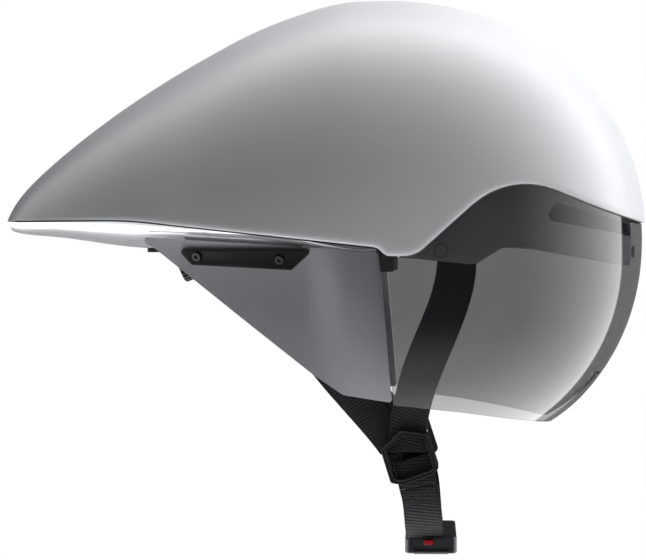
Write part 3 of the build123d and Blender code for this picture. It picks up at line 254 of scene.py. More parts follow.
@dataclass(frozen=True)
class SmokedSheet(Surface):
    """Dyed polycarbonate: sight passes, dimmed by the dye, and its face mirrors the studio."""

    name: str
    colour: str
    cover: float
    cover_low: float
    ior: float
    levels_mm: Point = (-84.0, -66.0)
    roughness: float = 0.04

    def shader(self, tree: Any) -> Any:
        """Adds a dark glossy shader that covers a little less at the lower edge.

        Args:
            tree: the material's node tree.

        Returns:
            The shader node.
        """
        place = add_node(tree, "ShaderNodeTexCoord").outputs["Object"]
        low, high = self.levels_mm
        dye = add_node(
            tree,
            "ShaderNodeMapRange",
            {
                "Value": add_node(tree, "ShaderNodeSeparateXYZ", {0: place}).outputs["Z"],
                "From Min": low * MM,
                "From Max": high * MM,
                "To Min": self.cover_low,
                "To Max": self.cover,
            },
            interpolation_type="SMOOTHSTEP",
        )
        values = {"Base Color": linear(self.colour), "Roughness": self.roughness}
        return add_node(
            tree, "ShaderNodeBsdfPrincipled", {**values, "IOR": self.ior, "Alpha": dye}
        )


@dataclass(frozen=True)
class Weave(Surface):
    """Webbing cloth, woven along its own UV in millimetres."""

    name: str
    colour: str
    second: str
    slant: float
    yarn_mm: float
    rib_mm: float
    depth_mm: float
    rib_share: float = 0.6
    half_width_mm: float = 9.0
    selvedge_mm: Point = (1.3, 0.9)
    selvedge_shade: float = 0.45
    relief: float = 0.9
    roughness: float = 0.62
    ior: float = 1.32
    sheen: float = 0.15
    sheen_roughness: float = 0.4

    def shader(self, tree: Any) -> Any:
        """Adds slanting yarns and straight ribs, with a darker selvedge on both edges. The colour
        follows the relief, paler on the crests and darker in the hollows, which is painted sheen
        and shade.

        Args:
            tree: the material's node tree.

        Returns:
            The shader node.
        """
        place = add_node(tree, "ShaderNodeUVMap", uv_map="weave")
        flat = add_node(tree, "ShaderNodeSeparateXYZ", {0: place})
        across, along = flat.outputs["X"], flat.outputs["Y"]
        run = add_node(
            tree, "ShaderNodeMath", {0: across, 1: self.slant, 2: along}, operation="MULTIPLY_ADD"
        )
        waves = []
        for way, size in ((run, self.yarn_mm), (across, self.rib_mm)):
            turn = add_node(
                tree, "ShaderNodeMath", {0: way, 1: math.tau / size}, operation="MULTIPLY"
            )
            waves.append(add_node(tree, "ShaderNodeMath", {0: turn}, operation="SINE"))
        yarn, rib = waves
        height = add_node(
            tree, "ShaderNodeMath", {0: rib, 1: self.rib_share, 2: yarn}, operation="MULTIPLY_ADD"
        )
        peak = 1 + self.rib_share
        shade = add_node(
            tree, "ShaderNodeMapRange", {"Value": height, "From Min": -peak, "From Max": peak}
        )
        starts, ends = self.selvedge_mm
        edge = add_node(
            tree,
            "ShaderNodeMapRange",
            {
                "Value": add_node(tree, "ShaderNodeMath", {0: across}, operation="ABSOLUTE"),
                "From Min": self.half_width_mm - starts,
                "From Max": self.half_width_mm - ends,
                "To Min": 1.0,
                "To Max": self.selvedge_shade,
            },
        )
        # The colour follows the relief: painted sheen on the crests, painted shade in the hollows
        share = add_node(tree, "ShaderNodeMath", {0: shade, 1: edge}, operation="MULTIPLY")
        tones = {0: share, 6: linear(self.colour), 7: linear(self.second)}
        bump = {"Height": shade, "Distance": self.depth_mm * MM, "Strength": self.relief}
        return add_node(
            tree,
            "ShaderNodeBsdfPrincipled",
            {
                "Base Color": add_node(tree, "ShaderNodeMix", tones, data_type="RGBA").outputs[2],
                "Normal": add_node(tree, "ShaderNodeBump", bump),
                "Roughness": self.roughness,
                "IOR": self.ior,
                "Sheen Weight": self.sheen,
                "Sheen Roughness": self.sheen_roughness,
            },
        )


@dataclass(frozen=True)
class FloorPaint(Surface):
    """Pale paint that looks plain white from above, and is clear from below."""

    name: str = "white_painted_floor"
    colour: str = "#f4f4f4"
    roughness: float = 0.9

    def shader(self, tree: Any) -> Any:
        """Adds paint for light, plain white for sight, and nothing on the underside.

        Args:
            tree: the material's node tree.

        Returns:
            The shader node.
        """
        path = add_node(tree, "ShaderNodeLightPath").outputs
        seen = path["Is Camera Ray"]
        for kind in ("Is Glossy Ray", "Is Transmission Ray"):
            seen = add_node(tree, "ShaderNodeMath", {0: seen, 1: path[kind]}, operation="MAXIMUM")
        values = {"Base Color": linear(self.colour), "Roughness": self.roughness}
        paint = add_node(tree, "ShaderNodeBsdfPrincipled", values)
        white = add_node(tree, "ShaderNodeEmission", {"Strength": 1.0})
        above = add_node(tree, "ShaderNodeMixShader", {0: seen, 1: paint, 2: white})
        under = add_node(tree, "ShaderNodeNewGeometry").outputs["Backfacing"]
        clear = add_node(tree, "ShaderNodeBsdfTransparent")
        return add_node(tree, "ShaderNodeMixShader", {0: under, 1: above, 2: clear})


# Satin lacquer over a polycarbonate skin: pale, with a soft broad shine. Its colour runs darker
# towards the tail and downwards, which is painted shade for light that falls from the top front
SHELL_PAINT = Finish(
    "satin_lacquer_with_painted_shade", "#86878b", "#e6e7ea", Grain.SPRAYED,
    roughness=0.38, size_mm=0.6, depth_mm=0.004, shade_fade=((-0.19, 0, 0.0), (0.07, 0, 0.06)),
)
# Silver lacquer, bright and slightly metallic, a little darker towards the ear panels, which is
# painted shade where the band lies under the shell's rim
SILVER_PAINT = Finish(
    "silver_lacquer_with_painted_shade", "#a9abae", "#dcdfe2", Grain.SPRAYED,
    roughness=0.26, size_mm=0.5, depth_mm=0.003, metallic=0.6, shade_fade=((-0.04, 0, 0), (-0.13, 0, 0)),
)
# Thermoformed polycarbonate skin, painted pale as painted light for the little light that reaches
# it under the shell: the dyed lens turns it to a mid grey
BROW_SKIN = Finish(
    "thermoformed_polycarbonate_painted_light", "#bcbdc1", "#c6c7cb", Grain.MOULDED,
    roughness=0.42, size_mm=2.0, depth_mm=0.01,
)
# Magnets in a sprayed epoxy coat that matches the brow skin, so they hardly show, and is painted
# pale as painted light like it
EPOXY_COAT = Finish(
    "grey_epoxy_coated_magnet", "#bcbdc1", "#c6c7cb", Grain.SPRAYED,
    roughness=0.4, size_mm=0.5, depth_mm=0.004,
)
# Expanded polystyrene: pressed beads about 3 mm across
FOAM = Finish(
    "expanded_polystyrene_foam", "#2e2e31", "#38383b", Grain.BEADED,
    roughness=0.85, size_mm=3.2, depth_mm=0.25,
)
# The ear panel's inner side: a flocked lining, painted pale as painted light, since that face lies
# in shade
PANEL_LINING = Finish(
    "flocked_panel_lining_painted_light", "#c4c5c8", "#cfd0d3", Grain.KNITTED,
    roughness=0.85, size_mm=0.6, depth_mm=0.05,
)
# Flexible polyurethane, moulded with a satin face
PANEL_SKIN = Finish(
    "moulded_grey_polyurethane", "#7c7d82", "#838489", Grain.MOULDED,
    roughness=0.36, size_mm=0.9, depth_mm=0.012, coat=0.3,
)
# Glass-filled nylon from a sparked mould: fine even grain. Its IOR is set low, which stands
# for the pits of the grain that swallow most of the shine
BLACK_NYLON = Finish(
    "spark_textured_black_nylon", "#0e0f10", "#121314", Grain.SPARKED,
    roughness=0.45, size_mm=0.5, depth_mm=0.03, ior=1.25,
)
# The same nylon from a polished mould: rims and edges glint. Its colour is paler than the black
# nylon's, which is painted sheen
SATIN_NYLON = Finish(
    "satin_black_nylon_painted_sheen", "#2d2e31", "#36373a", Grain.MOULDED,
    roughness=0.3, size_mm=0.4, depth_mm=0.01,
)
# Nylon in a mid grey, used where a part lies behind the lens: its grey is painted light for a black
# part in shade there
GREY_NYLON = Finish(
    "moulded_nylon_painted_light_grey", "#75767a", "#7e7f83", Grain.MOULDED,
    roughness=0.5, size_mm=0.6, depth_mm=0.02,
)
# Polyester webbing: a tight twill of dull black yarn with a faint sheen across its ribs, and
# painted sheen and shade, paler on the raised yarns and darker between them. Its yarns are drawn
# 1.6 mm apart, about twice as coarse as real ones, so that they show
WEBBING = Weave(
    "woven_polyester_webbing", "#0f0f10", "#2c2c30",
    slant=-0.2, yarn_mm=1.6, rib_mm=1.1, depth_mm=0.25,
)
# Twisted polyester sewing thread, a shade shinier than the webbing
THREAD = Finish(
    "twisted_polyester_thread", "#3b3b3f", "#454549", Grain.TURNED,
    roughness=0.45, size_mm=0.3, depth_mm=0.03,
)
# Brushed knit over foam: dark, matt and soft, with loops that just show
KNIT = Finish(
    "brushed_knit_pad_cloth", "#202023", "#2a2a2e", Grain.KNITTED,
    roughness=0.9, size_mm=0.9, depth_mm=0.12,
)
# Moulded rubber, slightly dusty
RUBBER = Finish(
    "moulded_black_rubber", "#1b1b1c", "#242425", Grain.SPARKED,
    roughness=0.68, size_mm=0.7, depth_mm=0.03,
)
# Zinc-plated steel, turned and rolled: a dark grey with sharp glints
SCREW_STEEL = Finish(
    "black_zinc_plated_steel", "#56575a", "#626366", Grain.TURNED,
    roughness=0.32, size_mm=0.3, depth_mm=0.01, metallic=1.0,
)
# Turned brass: warm and bright
BRASS = Finish(
    "turned_brass", "#b08d4a", "#a9853f", Grain.TURNED,
    roughness=0.3, size_mm=0.3, depth_mm=0.01, metallic=1.0,
)
# Nickel plate: smooth, pale and close to a mirror
NICKEL = Finish(
    "nickel_plated_magnet", "#b5b5b3", "#bcbcba", Grain.TURNED,
    roughness=0.22, size_mm=0.6, depth_mm=0.004, metallic=1.0,
)
# Undyed acetal: off-white, with a waxy shine
ACETAL = Finish(
    "moulded_natural_acetal", "#d9d8d0", "#d2d1c9", Grain.MOULDED,
    roughness=0.4, size_mm=0.8, depth_mm=0.01,
)
# Acetal dyed through: a deep waxy red, the helmet's one bright colour
RED_ACETAL = Finish(
    "moulded_red_acetal", "#a8101b", "#9a0c17", Grain.MOULDED,
    roughness=0.35, size_mm=0.5, depth_mm=0.01,
)
# Dark, clear and glossy. Its IOR is above the real 1.59, so that one face mirrors as much as
# the real sheet's two faces do
SMOKED_LENS = SmokedSheet(
    "hard_coated_smoked_polycarbonate", "#232427", cover=0.64, cover_low=0.58, ior=1.9
)
# The lens's inner face adds next to nothing to what the dyed outer face shows
LENS_INNER = SmokedSheet(
    "uncoated_smoked_polycarbonate", "#0b0c0e", cover=0.03, cover_low=0.03, ior=1.5
)


def rounded_line(points: Sequence[Point], radii: Sequence[float]) -> list[Point]:
    """Rounds the inner corners of a broken line.

    Args:
        points: corners in millimetres, in order.
        radii: one radius for each inner corner.

    Returns:
        Points along the line, with even steps in each corner.
    """
    line = [points[0]]
    for before, corner, after, radius in zip(points, points[1:], points[2:], radii):
        here = Vector(corner)
        back = (Vector(before) - here).normalized()
        ahead = (Vector(after) - here).normalized()
        half = back.angle(ahead) / 2
        reach = radius / math.tan(half)
        centre = here + (back + ahead).normalized() * (radius / math.sin(half))
        start, end = here + back * reach - centre, here + ahead * reach - centre
        turn = start.angle_signed(end)
        for step in range(CORNER_STEPS + 1):
            angle = -turn * step / CORNER_STEPS
            line.append(tuple(centre + Matrix.Rotation(angle, 2) @ start))
    line.append(points[-1])
    return line


def height_at(line: Sequence[Point], x: float) -> float:
    """Reads a broken line.

    Args:
        line: its points, in the order of their first value.
        x: the first value to read it at.

    Returns:
        The second value there.
    """
    stations = [p[0] for p in line]
    index = min(max(bisect_left(stations, x), 1), len(line) - 1)
    (x0, z0), (x1, z1) = line[index - 1], line[index]
    return z0 + (z1 - z0) * (x - x0) / (x1 - x0)


def solve(gap: Callable[[float], float], low: float, high: float) -> float:
    """Finds where a rising function passes zero, by halving.

    Args:
        gap: the function, below zero at low.
        low: lower end of the search.
        high: upper end of the search.

    Returns:
        The crossing.
    """
    for _ in range(HALVINGS):
        middle = (low + high) / 2
        if gap(middle) < 0:
            low = middle
        else:
            high = middle
    return (low + high) / 2


@dataclass
class EggForm:
    """The one rule that shapes the shell and the lens. Sizes in millimetres."""

    apex: float = -8.0
    front: float = 129.5
    tail: float = 190.5
    half_width: float = 104.0
    belt: float = 5.0
    crown: float = 118.9
    chin: float = 118.0
    plan_power: float = 2.4
    side_power: float = 2.1
    tail_widths: tuple[Point, ...] = (
        (0.0, 1.0), (0.11, 1.0526), (0.22, 1.0927), (0.34, 1.114), (0.455, 1.1176),
        (0.565, 1.0917), (0.68, 1.0571), (0.79, 1.008), (0.895, 0.945), (1.0, 0.90),
    )
    tail_heights: tuple[Point, ...] = (
        (0.0, 1.0), (0.11, 1.0494), (0.22, 1.0666), (0.34, 1.0672), (0.455, 1.0444),
        (0.565, 1.0144), (0.68, 0.9723), (0.79, 0.9186), (0.895, 0.865), (1.0, 0.84),
    )

    @staticmethod
    def _smooth(table: Sequence[Point], at: float) -> float:
        """Reads a table along a smooth curve through its rows.

        Args:
            table: rows of a station and a value.
            at: the station to read it at.

        Returns:
            The value there.
        """
        stations = [row[0] for row in table]
        index = min(max(bisect_left(stations, at), 1), len(table) - 1)
        (x0, y0), (x1, y1) = table[index - 1], table[index]

        def slope(i: int) -> float:
            """How steeply the curve passes a row."""
            before, after = table[max(i - 1, 0)], table[min(i + 1, len(table) - 1)]
            return (after[1] - before[1]) / (after[0] - before[0])

        t = (at - x0) / (x1 - x0)
        span = x1 - x0
        return (
            (2 * t**3 - 3 * t**2 + 1) * y0
            + (t**3 - 2 * t**2 + t) * span * slope(index - 1)
            + (3 * t**2 - 2 * t**3) * y1
            + (t**3 - t**2) * span * slope(index)
        )

    def height(self, x: float, inset: float = 0.0) -> float:
        """Crown height over the belt at a station.

        Args:
            x: the station.
            inset: depth below the shell's face.

        Returns:
            The height.
        """
        crown = self.crown - inset
        if x >= self.apex:
            share = min((x - self.apex) / (self.front - inset), 1.0)
            return crown * (1 - share**self.side_power) ** (1 / self.side_power)
        back = min((self.apex - x) / (self.tail - inset), 1.0)
        return crown * math.sqrt(1 - back) * self._smooth(self.tail_heights, back)

    def reach(self, x: float, z: float, inset: float = 0.0) -> float:
        """Distance of the surface from the middle plane.

        Args:
            x: the station.
            z: the level.
            inset: depth below the shell's face.

        Returns:
            The distance.
        """
        power, plan = self.side_power, self.plan_power
        width = self.half_width - inset
        depth = (self.crown if z >= self.belt else self.chin) - inset
        if x >= self.apex:
            share = (x - self.apex) / (self.front - inset)
            level = min(abs(z - self.belt) / depth, 1.0)
            plan_size = (1 - level**power) ** (plan / power)
            return width * max(plan_size - share**plan, 0.0) ** (1 / plan)
        back = min((self.apex - x) / (self.tail - inset), 1.0)
        root = math.sqrt(1 - back)
        wide = width * root * self._smooth(self.tail_widths, back)
        tall = max(depth * root * self._smooth(self.tail_heights, back), 1e-6)
        level = min(abs(z - self.belt) / tall, 1.0)
        return wide * (1 - level**power) ** (1 / power)

    def plan_scale(self, z: float, inset: float) -> float:
        """How far the front half's plan has shrunk at a level.

        Args:
            z: the level.
            inset: depth below the shell's face.

        Returns:
            Its size there as a share of its size at the belt.
        """
        depth = (self.crown if z >= self.belt else self.chin) - inset
        level = min(abs(z - self.belt) / depth, 1.0)
        return (1 - level**self.side_power) ** (1 / self.side_power)

    def front_point(self, angle: float, z: float, inset: float) -> Point:
        """A point of the front half by its bearing and level.

        Args:
            angle: bearing from straight ahead, in radians, positive to the rider's left.
            z: level in millimetres.
            inset: depth below the shell's face.

        Returns:
            Its X and Y.
        """
        size = self.plan_scale(z, inset)
        power = 2 / self.plan_power
        ahead = max(math.cos(angle), 0.0) ** power
        aside = abs(math.sin(angle)) ** power
        x = self.apex + (self.front - inset) * size * ahead
        return x, math.copysign((self.half_width - inset) * size * aside, angle)


def place_object(name: str, data: Any) -> Any:
    """Puts a mesh, lamp or camera in the scene as an object at the origin.

    Args:
        name: the object's name.
        data: the mesh, lamp or camera.

    Returns:
        The object.
    """
    obj = bpy.data.objects.new(name, data)
    bpy.context.scene.collection.objects.link(obj)
    return obj


@contextmanager
def edited(mesh: Any) -> Iterator[Any]:
    """Opens a mesh for editing, and writes it back when the work is done.

    Args:
        mesh: the mesh.

    Yields:
        The open mesh.
    """
    work = bmesh.new()
    work.from_mesh(mesh)
    yield work
    work.to_mesh(mesh)
    work.free()


def keep_shown(obj: Any) -> None:
    """Makes what the modifiers show the object's plain mesh, and takes them off.

    Args:
        obj: the object.
    """
    graph = bpy.context.evaluated_depsgraph_get()
    result = bpy.data.meshes.new_from_object(obj.evaluated_get(graph))
    obj.modifiers.clear()
    obj.data = result


def soften(mesh: Any, smooth_deg: float) -> None:
    """Merges doubles, points faces outwards and marks sharp edges.

    Args:
        mesh: the mesh.
        smooth_deg: edges that turn more than this stay sharp.
    """
    limit = math.radians(smooth_deg)
    with edited(mesh) as work:
        bmesh.ops.remove_doubles(work, verts=work.verts, dist=MERGE_MM * MM)
        bmesh.ops.recalc_face_normals(work, faces=work.faces)
        for face in work.faces:
            face.smooth = True
        for edge in work.edges:
            edge.smooth = len(edge.link_faces) == 2 and edge.calc_face_angle(0.0) < limit


def mesh_object(
    name: str, verts: Sequence, faces: Sequence, finish_numbers: Optional[Sequence[int]] = None
) -> Any:
    """Makes an object from points in millimetres, smooth but for its sharp edges.

    Args:
        name: the object's name.
        verts: points in millimetres.
        faces: lists of point numbers.
        finish_numbers: which finish each face takes, where there is more than one.

    Returns:
        The new object, in the scene.
    """
    mesh = bpy.data.meshes.new(name)
    mesh.from_pydata([[c * MM for c in v] for v in verts], [], faces)
    if finish_numbers:
        mesh.polygons.foreach_set("material_index", finish_numbers)
    soften(mesh, WALL_SMOOTH_DEG)
    return place_object(name, mesh)


def grid_faces(columns: int, rows: int, start: int = 0, flip: bool = False) -> list:
    """Quads of a grid whose points run row by row.

    Args:
        columns: points in a row.
        rows: number of rows.
        start: number of the grid's first point.
        flip: whether the quads face the other way.

    Returns:
        Lists of four point numbers.
    """
    faces = []
    for row in range(rows - 1):
        for column in range(columns - 1):
            a = start + row * columns + column
            quad = [a, a + 1, a + columns + 1, a + columns]
            faces.append(quad[::-1] if flip else quad)
    return faces


def wall_from_faces(name: str, outer: list[list], inner: list[list]) -> Any:
    """Closes an outer and an inner grid of points into one thin wall.

    The inner grid takes the second finish, where the piece is given two.

    Args:
        name: the object's name.
        outer: rows of points of the outer face.
        inner: rows of points of the inner face, in the same order.

    Returns:
        The wall as an object.
    """
    rows, columns = len(outer), len(outer[0])
    verts = [p for row in outer for p in row] + [p for row in inner for p in row]
    count = rows * columns
    faces = grid_faces(columns, rows) + grid_faces(columns, rows, count, True)
    rim = [(0, c) for c in range(columns)]
    rim += [(r, columns - 1) for r in range(1, rows)]
    rim += [(rows - 1, c) for c in range(columns - 2, -1, -1)]
    rim += [(r, 0) for r in range(rows - 2, 0, -1)]
    ids = [r * columns + c for r, c in rim]
    quads = len(faces) // 2
    for a, b in zip(ids, ids[1:] + ids[:1]):
        faces.append([a, b, b + count, a + count])
    numbers = [0] * quads + [1] * quads + [0] * len(ids)
    return mesh_object(name, verts, faces, numbers)


def dress(obj: Any, *finishes: Surface) -> None:
    """Gives a piece its materials, and each face the one it asks for.

    Args:
        obj: the piece.
        finishes: its finishes, in the order of the faces' numbers.
    """
    numbers = [min(face.material_index, len(finishes) - 1) for face in obj.data.polygons]
    obj.data.materials.clear()
    for finish in finishes:
        obj.data.materials.append(finish.material())
    obj.data.polygons.foreach_set("material_index", numbers)


def settle(obj: Any, body: str, slot: str, *nodes: str) -> None:
    """Lets a piece stand for its nodes and move with their body.

    Args:
        obj: the finished piece.
        body: the CAD body it moves with.
        slot: the record's material slot; not used.
        nodes: the CAD nodes it stands for.
    """
    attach(obj, body)
    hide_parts(*nodes)
    log.info("%s made for %s", obj.name, ", ".join(nodes))


def cut(obj: Any, work: Any) -> None:
    """Cuts the solids in an open mesh out of an object, and keeps only the plain mesh.

    Args:
        obj: the object.
        work: the open mesh, which is closed here.
    """
    mesh = bpy.data.meshes.new("cutter")
    work.to_mesh(mesh)
    work.free()
    cutter = place_object("cutter", mesh)
    modifier = obj.modifiers.new("holes", "BOOLEAN")
    modifier.object = cutter
    modifier.operation = "DIFFERENCE"
    modifier.solver = "EXACT"
    keep_shown(obj)
    soften(obj.data, WALL_SMOOTH_DEG)
    bpy.data.objects.remove(cutter)


def tidy_copy(node: str, name: str, smooth_deg: float = COPY_SMOOTH_DEG) -> Any:
    """A copy of a CAD node with its doubles merged and smooth faces.

    Args:
        node: the CAD node.
        name: the copy's name.
        smooth_deg: edges that turn more than this stay sharp.

    Returns:
        The copy, at the origin.
    """
    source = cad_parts[node]
    mesh = source.data.copy()
    mesh.transform(source.matrix_world)
    if mesh.has_custom_normals:
        mesh.normals_split_custom_set([(0, 0, 0)] * len(mesh.loops))
    soften(mesh, smooth_deg)
    return place_object(name, mesh)


def merge_flat(work: Any) -> None:
    """Joins the faces of an open mesh that lie in one plane."""
    bmesh.ops.dissolve_limit(
        work, angle_limit=math.radians(FLAT_DEG), verts=work.verts, edges=work.edges
    )


def crisp(obj: Any, width_mm: float) -> None:
    """Rounds a piece's hard edges slightly, so that they catch the light.

    Args:
        obj: the piece.
        width_mm: how wide the rounding is.
    """
    with edited(obj.data) as work:
        merge_flat(work)
    bevel = obj.modifiers.new("edges", "BEVEL")
    bevel.width = width_mm * MM
    bevel.segments = BEVEL_SEGMENTS
    bevel.limit_method = "ANGLE"
    bevel.angle_limit = math.radians(HARD_EDGE_DEG)
    keep_shown(obj)
    soften(obj.data, BEVEL_SMOOTH_DEG)


@dataclass
class Skins:
    """Shell, lens and brow skin. Sizes in millimetres."""

    form: EggForm = field(default_factory=EggForm)
    shell_wall: float = 1.6
    lip_height: float = 2.8
    lip_depth: float = 1.4
    lip_rows: tuple[float, ...] = (0.0, 0.25, 0.6, 1.1, 1.8, 2.8, 4.0)
    # The lip has its full height where the side is this high, its full depth this far from
    # both ends, and its rows spread this much at most where the edge is steep
    lip_full_side: float = 20.0
    lip_full_end: float = 6.0
    lip_most_spread: float = 2.5
    nose_radius: float = 2.2
    # Steps along the shell and up its side, crowded towards the lip, and the stations from
    # which its nose and tail are looked for
    stations: int = 240
    side_steps: int = 42
    side_crowding: float = 1.6
    nose_from: float = 60.0
    tail_from: float = -100.0
    lens_inset: float = 1.6
    lens_wall: float = 2.2
    lens_columns: int = 221
    lens_rows: int = 70
    lens_crowding: float = 0.85
    # Levels between which its lower and upper edge are looked for, the station and level where
    # its rear edge starts, and how far that leans forwards over which drop
    lens_levels: Place = (-95.0, -20.0, 60.0)
    lens_back_top: Point = (-8.5, -2.9)
    lens_back_lean: Point = (6.2, 70.6)
    seam: float = 0.6
    rim_corners: tuple[Point, ...] = (
        (-260.0, 14.2), (-130.0, 14.2), (-9.5, 1.0), (-5.5, -2.9), (8.0, -2.9), (52.0, 36.6),
        (123.5, 8.8), (260.0, 8.8),
    )
    rim_radii: tuple[float, ...] = (200.0, 2.5, 2.5, 14.0, 38.0, 200.0)
    lens_corners: tuple[Point, ...] = (
        (-12.0, -72.8), (-2.3, -73.5), (30.0, -77.2), (72.0, -83.8), (130.0, -83.8),
    )
    lens_radii: tuple[float, ...] = (0.6, 40.0, 40.0)
    notch_top: float = -57.0
    notch_foot: Point = (27.0, -83.8)
    notch_radius: float = 9.0
    notch_from: float = 40.0
    holes: tuple[Place, ...] = ((108.2, 51.5, 9.7), (110.6, 47.4, 8.0))
    hole_radius: float = 1.3
    hole_turn: float = 30.0
    hole_sides: int = 24
    drill_length: float = 12.0

    def __post_init__(self) -> None:
        """Rounds the traced edges once, and finds the shell's nose."""
        self._rim_line = rounded_line(self.rim_corners, self.rim_radii)
        self._low_line = rounded_line(self.lens_corners, self.lens_radii)
        foot_y, foot_z = self.notch_foot
        self._notch_line = rounded_line(
            ((-foot_y, foot_z), (0.0, self.notch_top), (foot_y, foot_z)), (self.notch_radius,)
        )
        form = self.form
        self._nose = solve(
            lambda x: self.rim(x) - form.belt - form.height(x),
            self.nose_from,
            form.apex + form.front,
        )

    def rim(self, x: float) -> float:
        """Level of the shell's lower edge."""
        return height_at(self._rim_line, x)

    def _lip_foot(self, x: float) -> float:
        """Level of the shell's lower edge, with its nose rounded off.

        Args:
            x: the station.

        Returns:
            The level.
        """
        radius = self.nose_radius
        passed = min(max(x - self._nose + radius, 0.0), radius)
        return self.rim(x) + radius - math.sqrt(radius**2 - passed**2)

    def _lip(self, x: float, top: float, near: float) -> list[Point]:
        """The rolled lip at the foot of the shell's side.

        Args:
            x: the station.
            top: level of the ridge there.
            near: share of the lip's full depth, zero for none.

        Returns:
            Each row's level and how far it lies inwards.
        """
        low = min(self._lip_foot(x), top)
        # How far the edge rises over one millimetre
        slope = self.rim(x + 0.5) - self.rim(x - 0.5)
        spread = min(math.sqrt(1 + slope**2), self.lip_most_spread)
        spread *= min((top - low) / self.lip_full_side, 1.0)
        rows = []
        for distance in self.lip_rows:
            left = max(1 - distance / self.lip_height, 0.0)
            roll = self.lip_depth * (1 - math.sqrt(1 - left**2))
            rows.append((low + distance * spread, roll * near))
        return rows

    def _shell_face(self, inset: float) -> list[list]:
        """Points of the shell's outer or inner face.

        Args:
            inset: depth below the outer face.

        Returns:
            Rows of points from nose to tail, each from the right edge over to the left one.
        """
        form = self.form
        front, back = form.apex + form.front - inset, form.apex - form.tail + inset
        tip = solve(
            lambda x: self._lip_foot(x) - form.belt - form.height(x, inset), self.nose_from, front
        )
        tail = solve(
            lambda x: form.belt + form.height(x, inset) - self.rim(x), back, self.tail_from
        )
        rows = []
        for i in range(self.stations + 1):
            turn = math.pi * i / self.stations
            x = (tip + tail) / 2 + (tip - tail) / 2 * math.cos(turn)
            top = form.belt + form.height(x, inset)
            ends = min((tip - x) / self.lip_full_end, (x - tail) / self.lip_full_end, 1.0)
            side = self._lip(x, top, ends if inset == 0 else 0.0)
            start = side[-1][0]
            for j in range(self.side_steps - 1, -1, -1):
                climbed = 1 - (j / self.side_steps) ** self.side_crowding
                side.append((start + (top - start) * math.sin(climbed * math.pi / 2), 0.0))
            half = [(form.reach(x, z, inset + roll), z) for z, roll in side]
            half[-1] = (0.0, top)
            rows.append([(x, -y, z) for y, z in half] + [(x, y, z) for y, z in half[-2::-1]])
        return rows

    def shell(self) -> Any:
        """The outer skin as one wall, from its lower edge over the crown."""
        outer, inner = self._shell_face(0.0), self._shell_face(self.shell_wall)
        return wall_from_faces("aero_shell_skin", outer, inner)

    def _lens_low(self, x: float, y: float) -> float:
        """Level of the lens's lower edge over a plan point.

        Args:
            x: the station.
            y: distance to the rider's left.

        Returns:
            The level.
        """
        low = height_at(self._low_line, x)
        if abs(y) < self.notch_foot[0] and x > self.notch_from:
            low = max(low, height_at(self._notch_line, y))
        return low

    def lens_back(self, z: float) -> float:
        """Station of the lens's rear edge, which leans forwards towards its foot.

        Args:
            z: the level.

        Returns:
            The station.
        """
        start, top = self.lens_back_top
        lean, drop = self.lens_back_lean
        return start + lean * min(max((top - z) / drop, 0.0), 1.0)

    def _lens_point(self, share: float, z: float, inset: float) -> Point:
        """A point of the lens in plan.

        Args:
            share: minus one at the right rear edge, zero in front, one at the left.
            z: the level.
            inset: depth below the shell's face.

        Returns:
            Its X and Y.
        """
        form = self.form
        back = self.lens_back(z)
        if abs(share) == 1 and back < form.apex:
            return back, math.copysign(form.reach(back, z, inset), share)
        size = (form.front - inset) * form.plan_scale(z, inset)
        ahead = max(back - form.apex, 0.01) / size
        bearing = share * math.acos(min(ahead ** (form.plan_power / 2), 1.0))
        return form.front_point(bearing, z, inset)

    def lens_face(self, inset: float) -> list[list]:
        """Points of one face of the lens.

        Args:
            inset: depth below the shell's face.

        Returns:
            Rows of points from the top edge down, each from the right rear edge to the left.
        """
        lowest, middle, highest = self.lens_levels
        grid: list[list] = [[] for _ in range(self.lens_rows)]
        for c in range(self.lens_columns):
            share = 2 * c / (self.lens_columns - 1) - 1
            share = math.copysign(abs(share) ** self.lens_crowding, share)

            def at(z: float, share: float = share) -> Point:
                """A point of this column in plan."""
                return self._lens_point(share, z, inset)

            top = solve(lambda z: z - self.rim(at(z)[0]) + self.seam, middle, highest)
            low = solve(lambda z: z - self._lens_low(*at(z)), lowest, middle)
            for r in range(self.lens_rows):
                z = top + (low - top) * r / (self.lens_rows - 1)
                grid[r].append((*at(z), z))
        return grid

    def lens(self) -> Any:
        """The lens as one wall with its four small holes.

        Returns:
            The lens as an object.
        """
        outer = self.lens_face(self.lens_inset)
        inner = self.lens_face(self.lens_inset + self.lens_wall)
        obj = wall_from_faces("wraparound_lens", outer, inner)
        work = bmesh.new()
        for x, reach, z in self.holes:
            for side in (-1, 1):
                turn = math.radians(self.hole_turn) * side
                bmesh.ops.create_cone(
                    work,
                    cap_ends=True,
                    segments=self.hole_sides,
                    radius1=self.hole_radius * MM,
                    radius2=self.hole_radius * MM,
                    depth=self.drill_length * MM,
                    matrix=Matrix.Translation(Vector((x, side * reach, z)) * MM)
                    @ Matrix.Rotation(turn, 4, "Z")
                    @ Matrix.Rotation(math.pi / 2, 4, "Y"),
                )
        cut(obj, work)
        return obj

    def build(self) -> None:
        """Builds and dresses the three skins."""
        shell = self.shell()
        dress(shell, SHELL_PAINT)
        settle(shell, "helmet", "shell_gloss", "outer_shell")
        lens = self.lens()
        dress(lens, SMOKED_LENS, LENS_INNER)
        settle(lens, "lens", "lens_smoke", "lens")
        brow = tidy_copy("brow_shell", "brow_skin")
        dress(brow, BROW_SKIN)
        settle(brow, "helmet", "brow_black", "brow_shell")


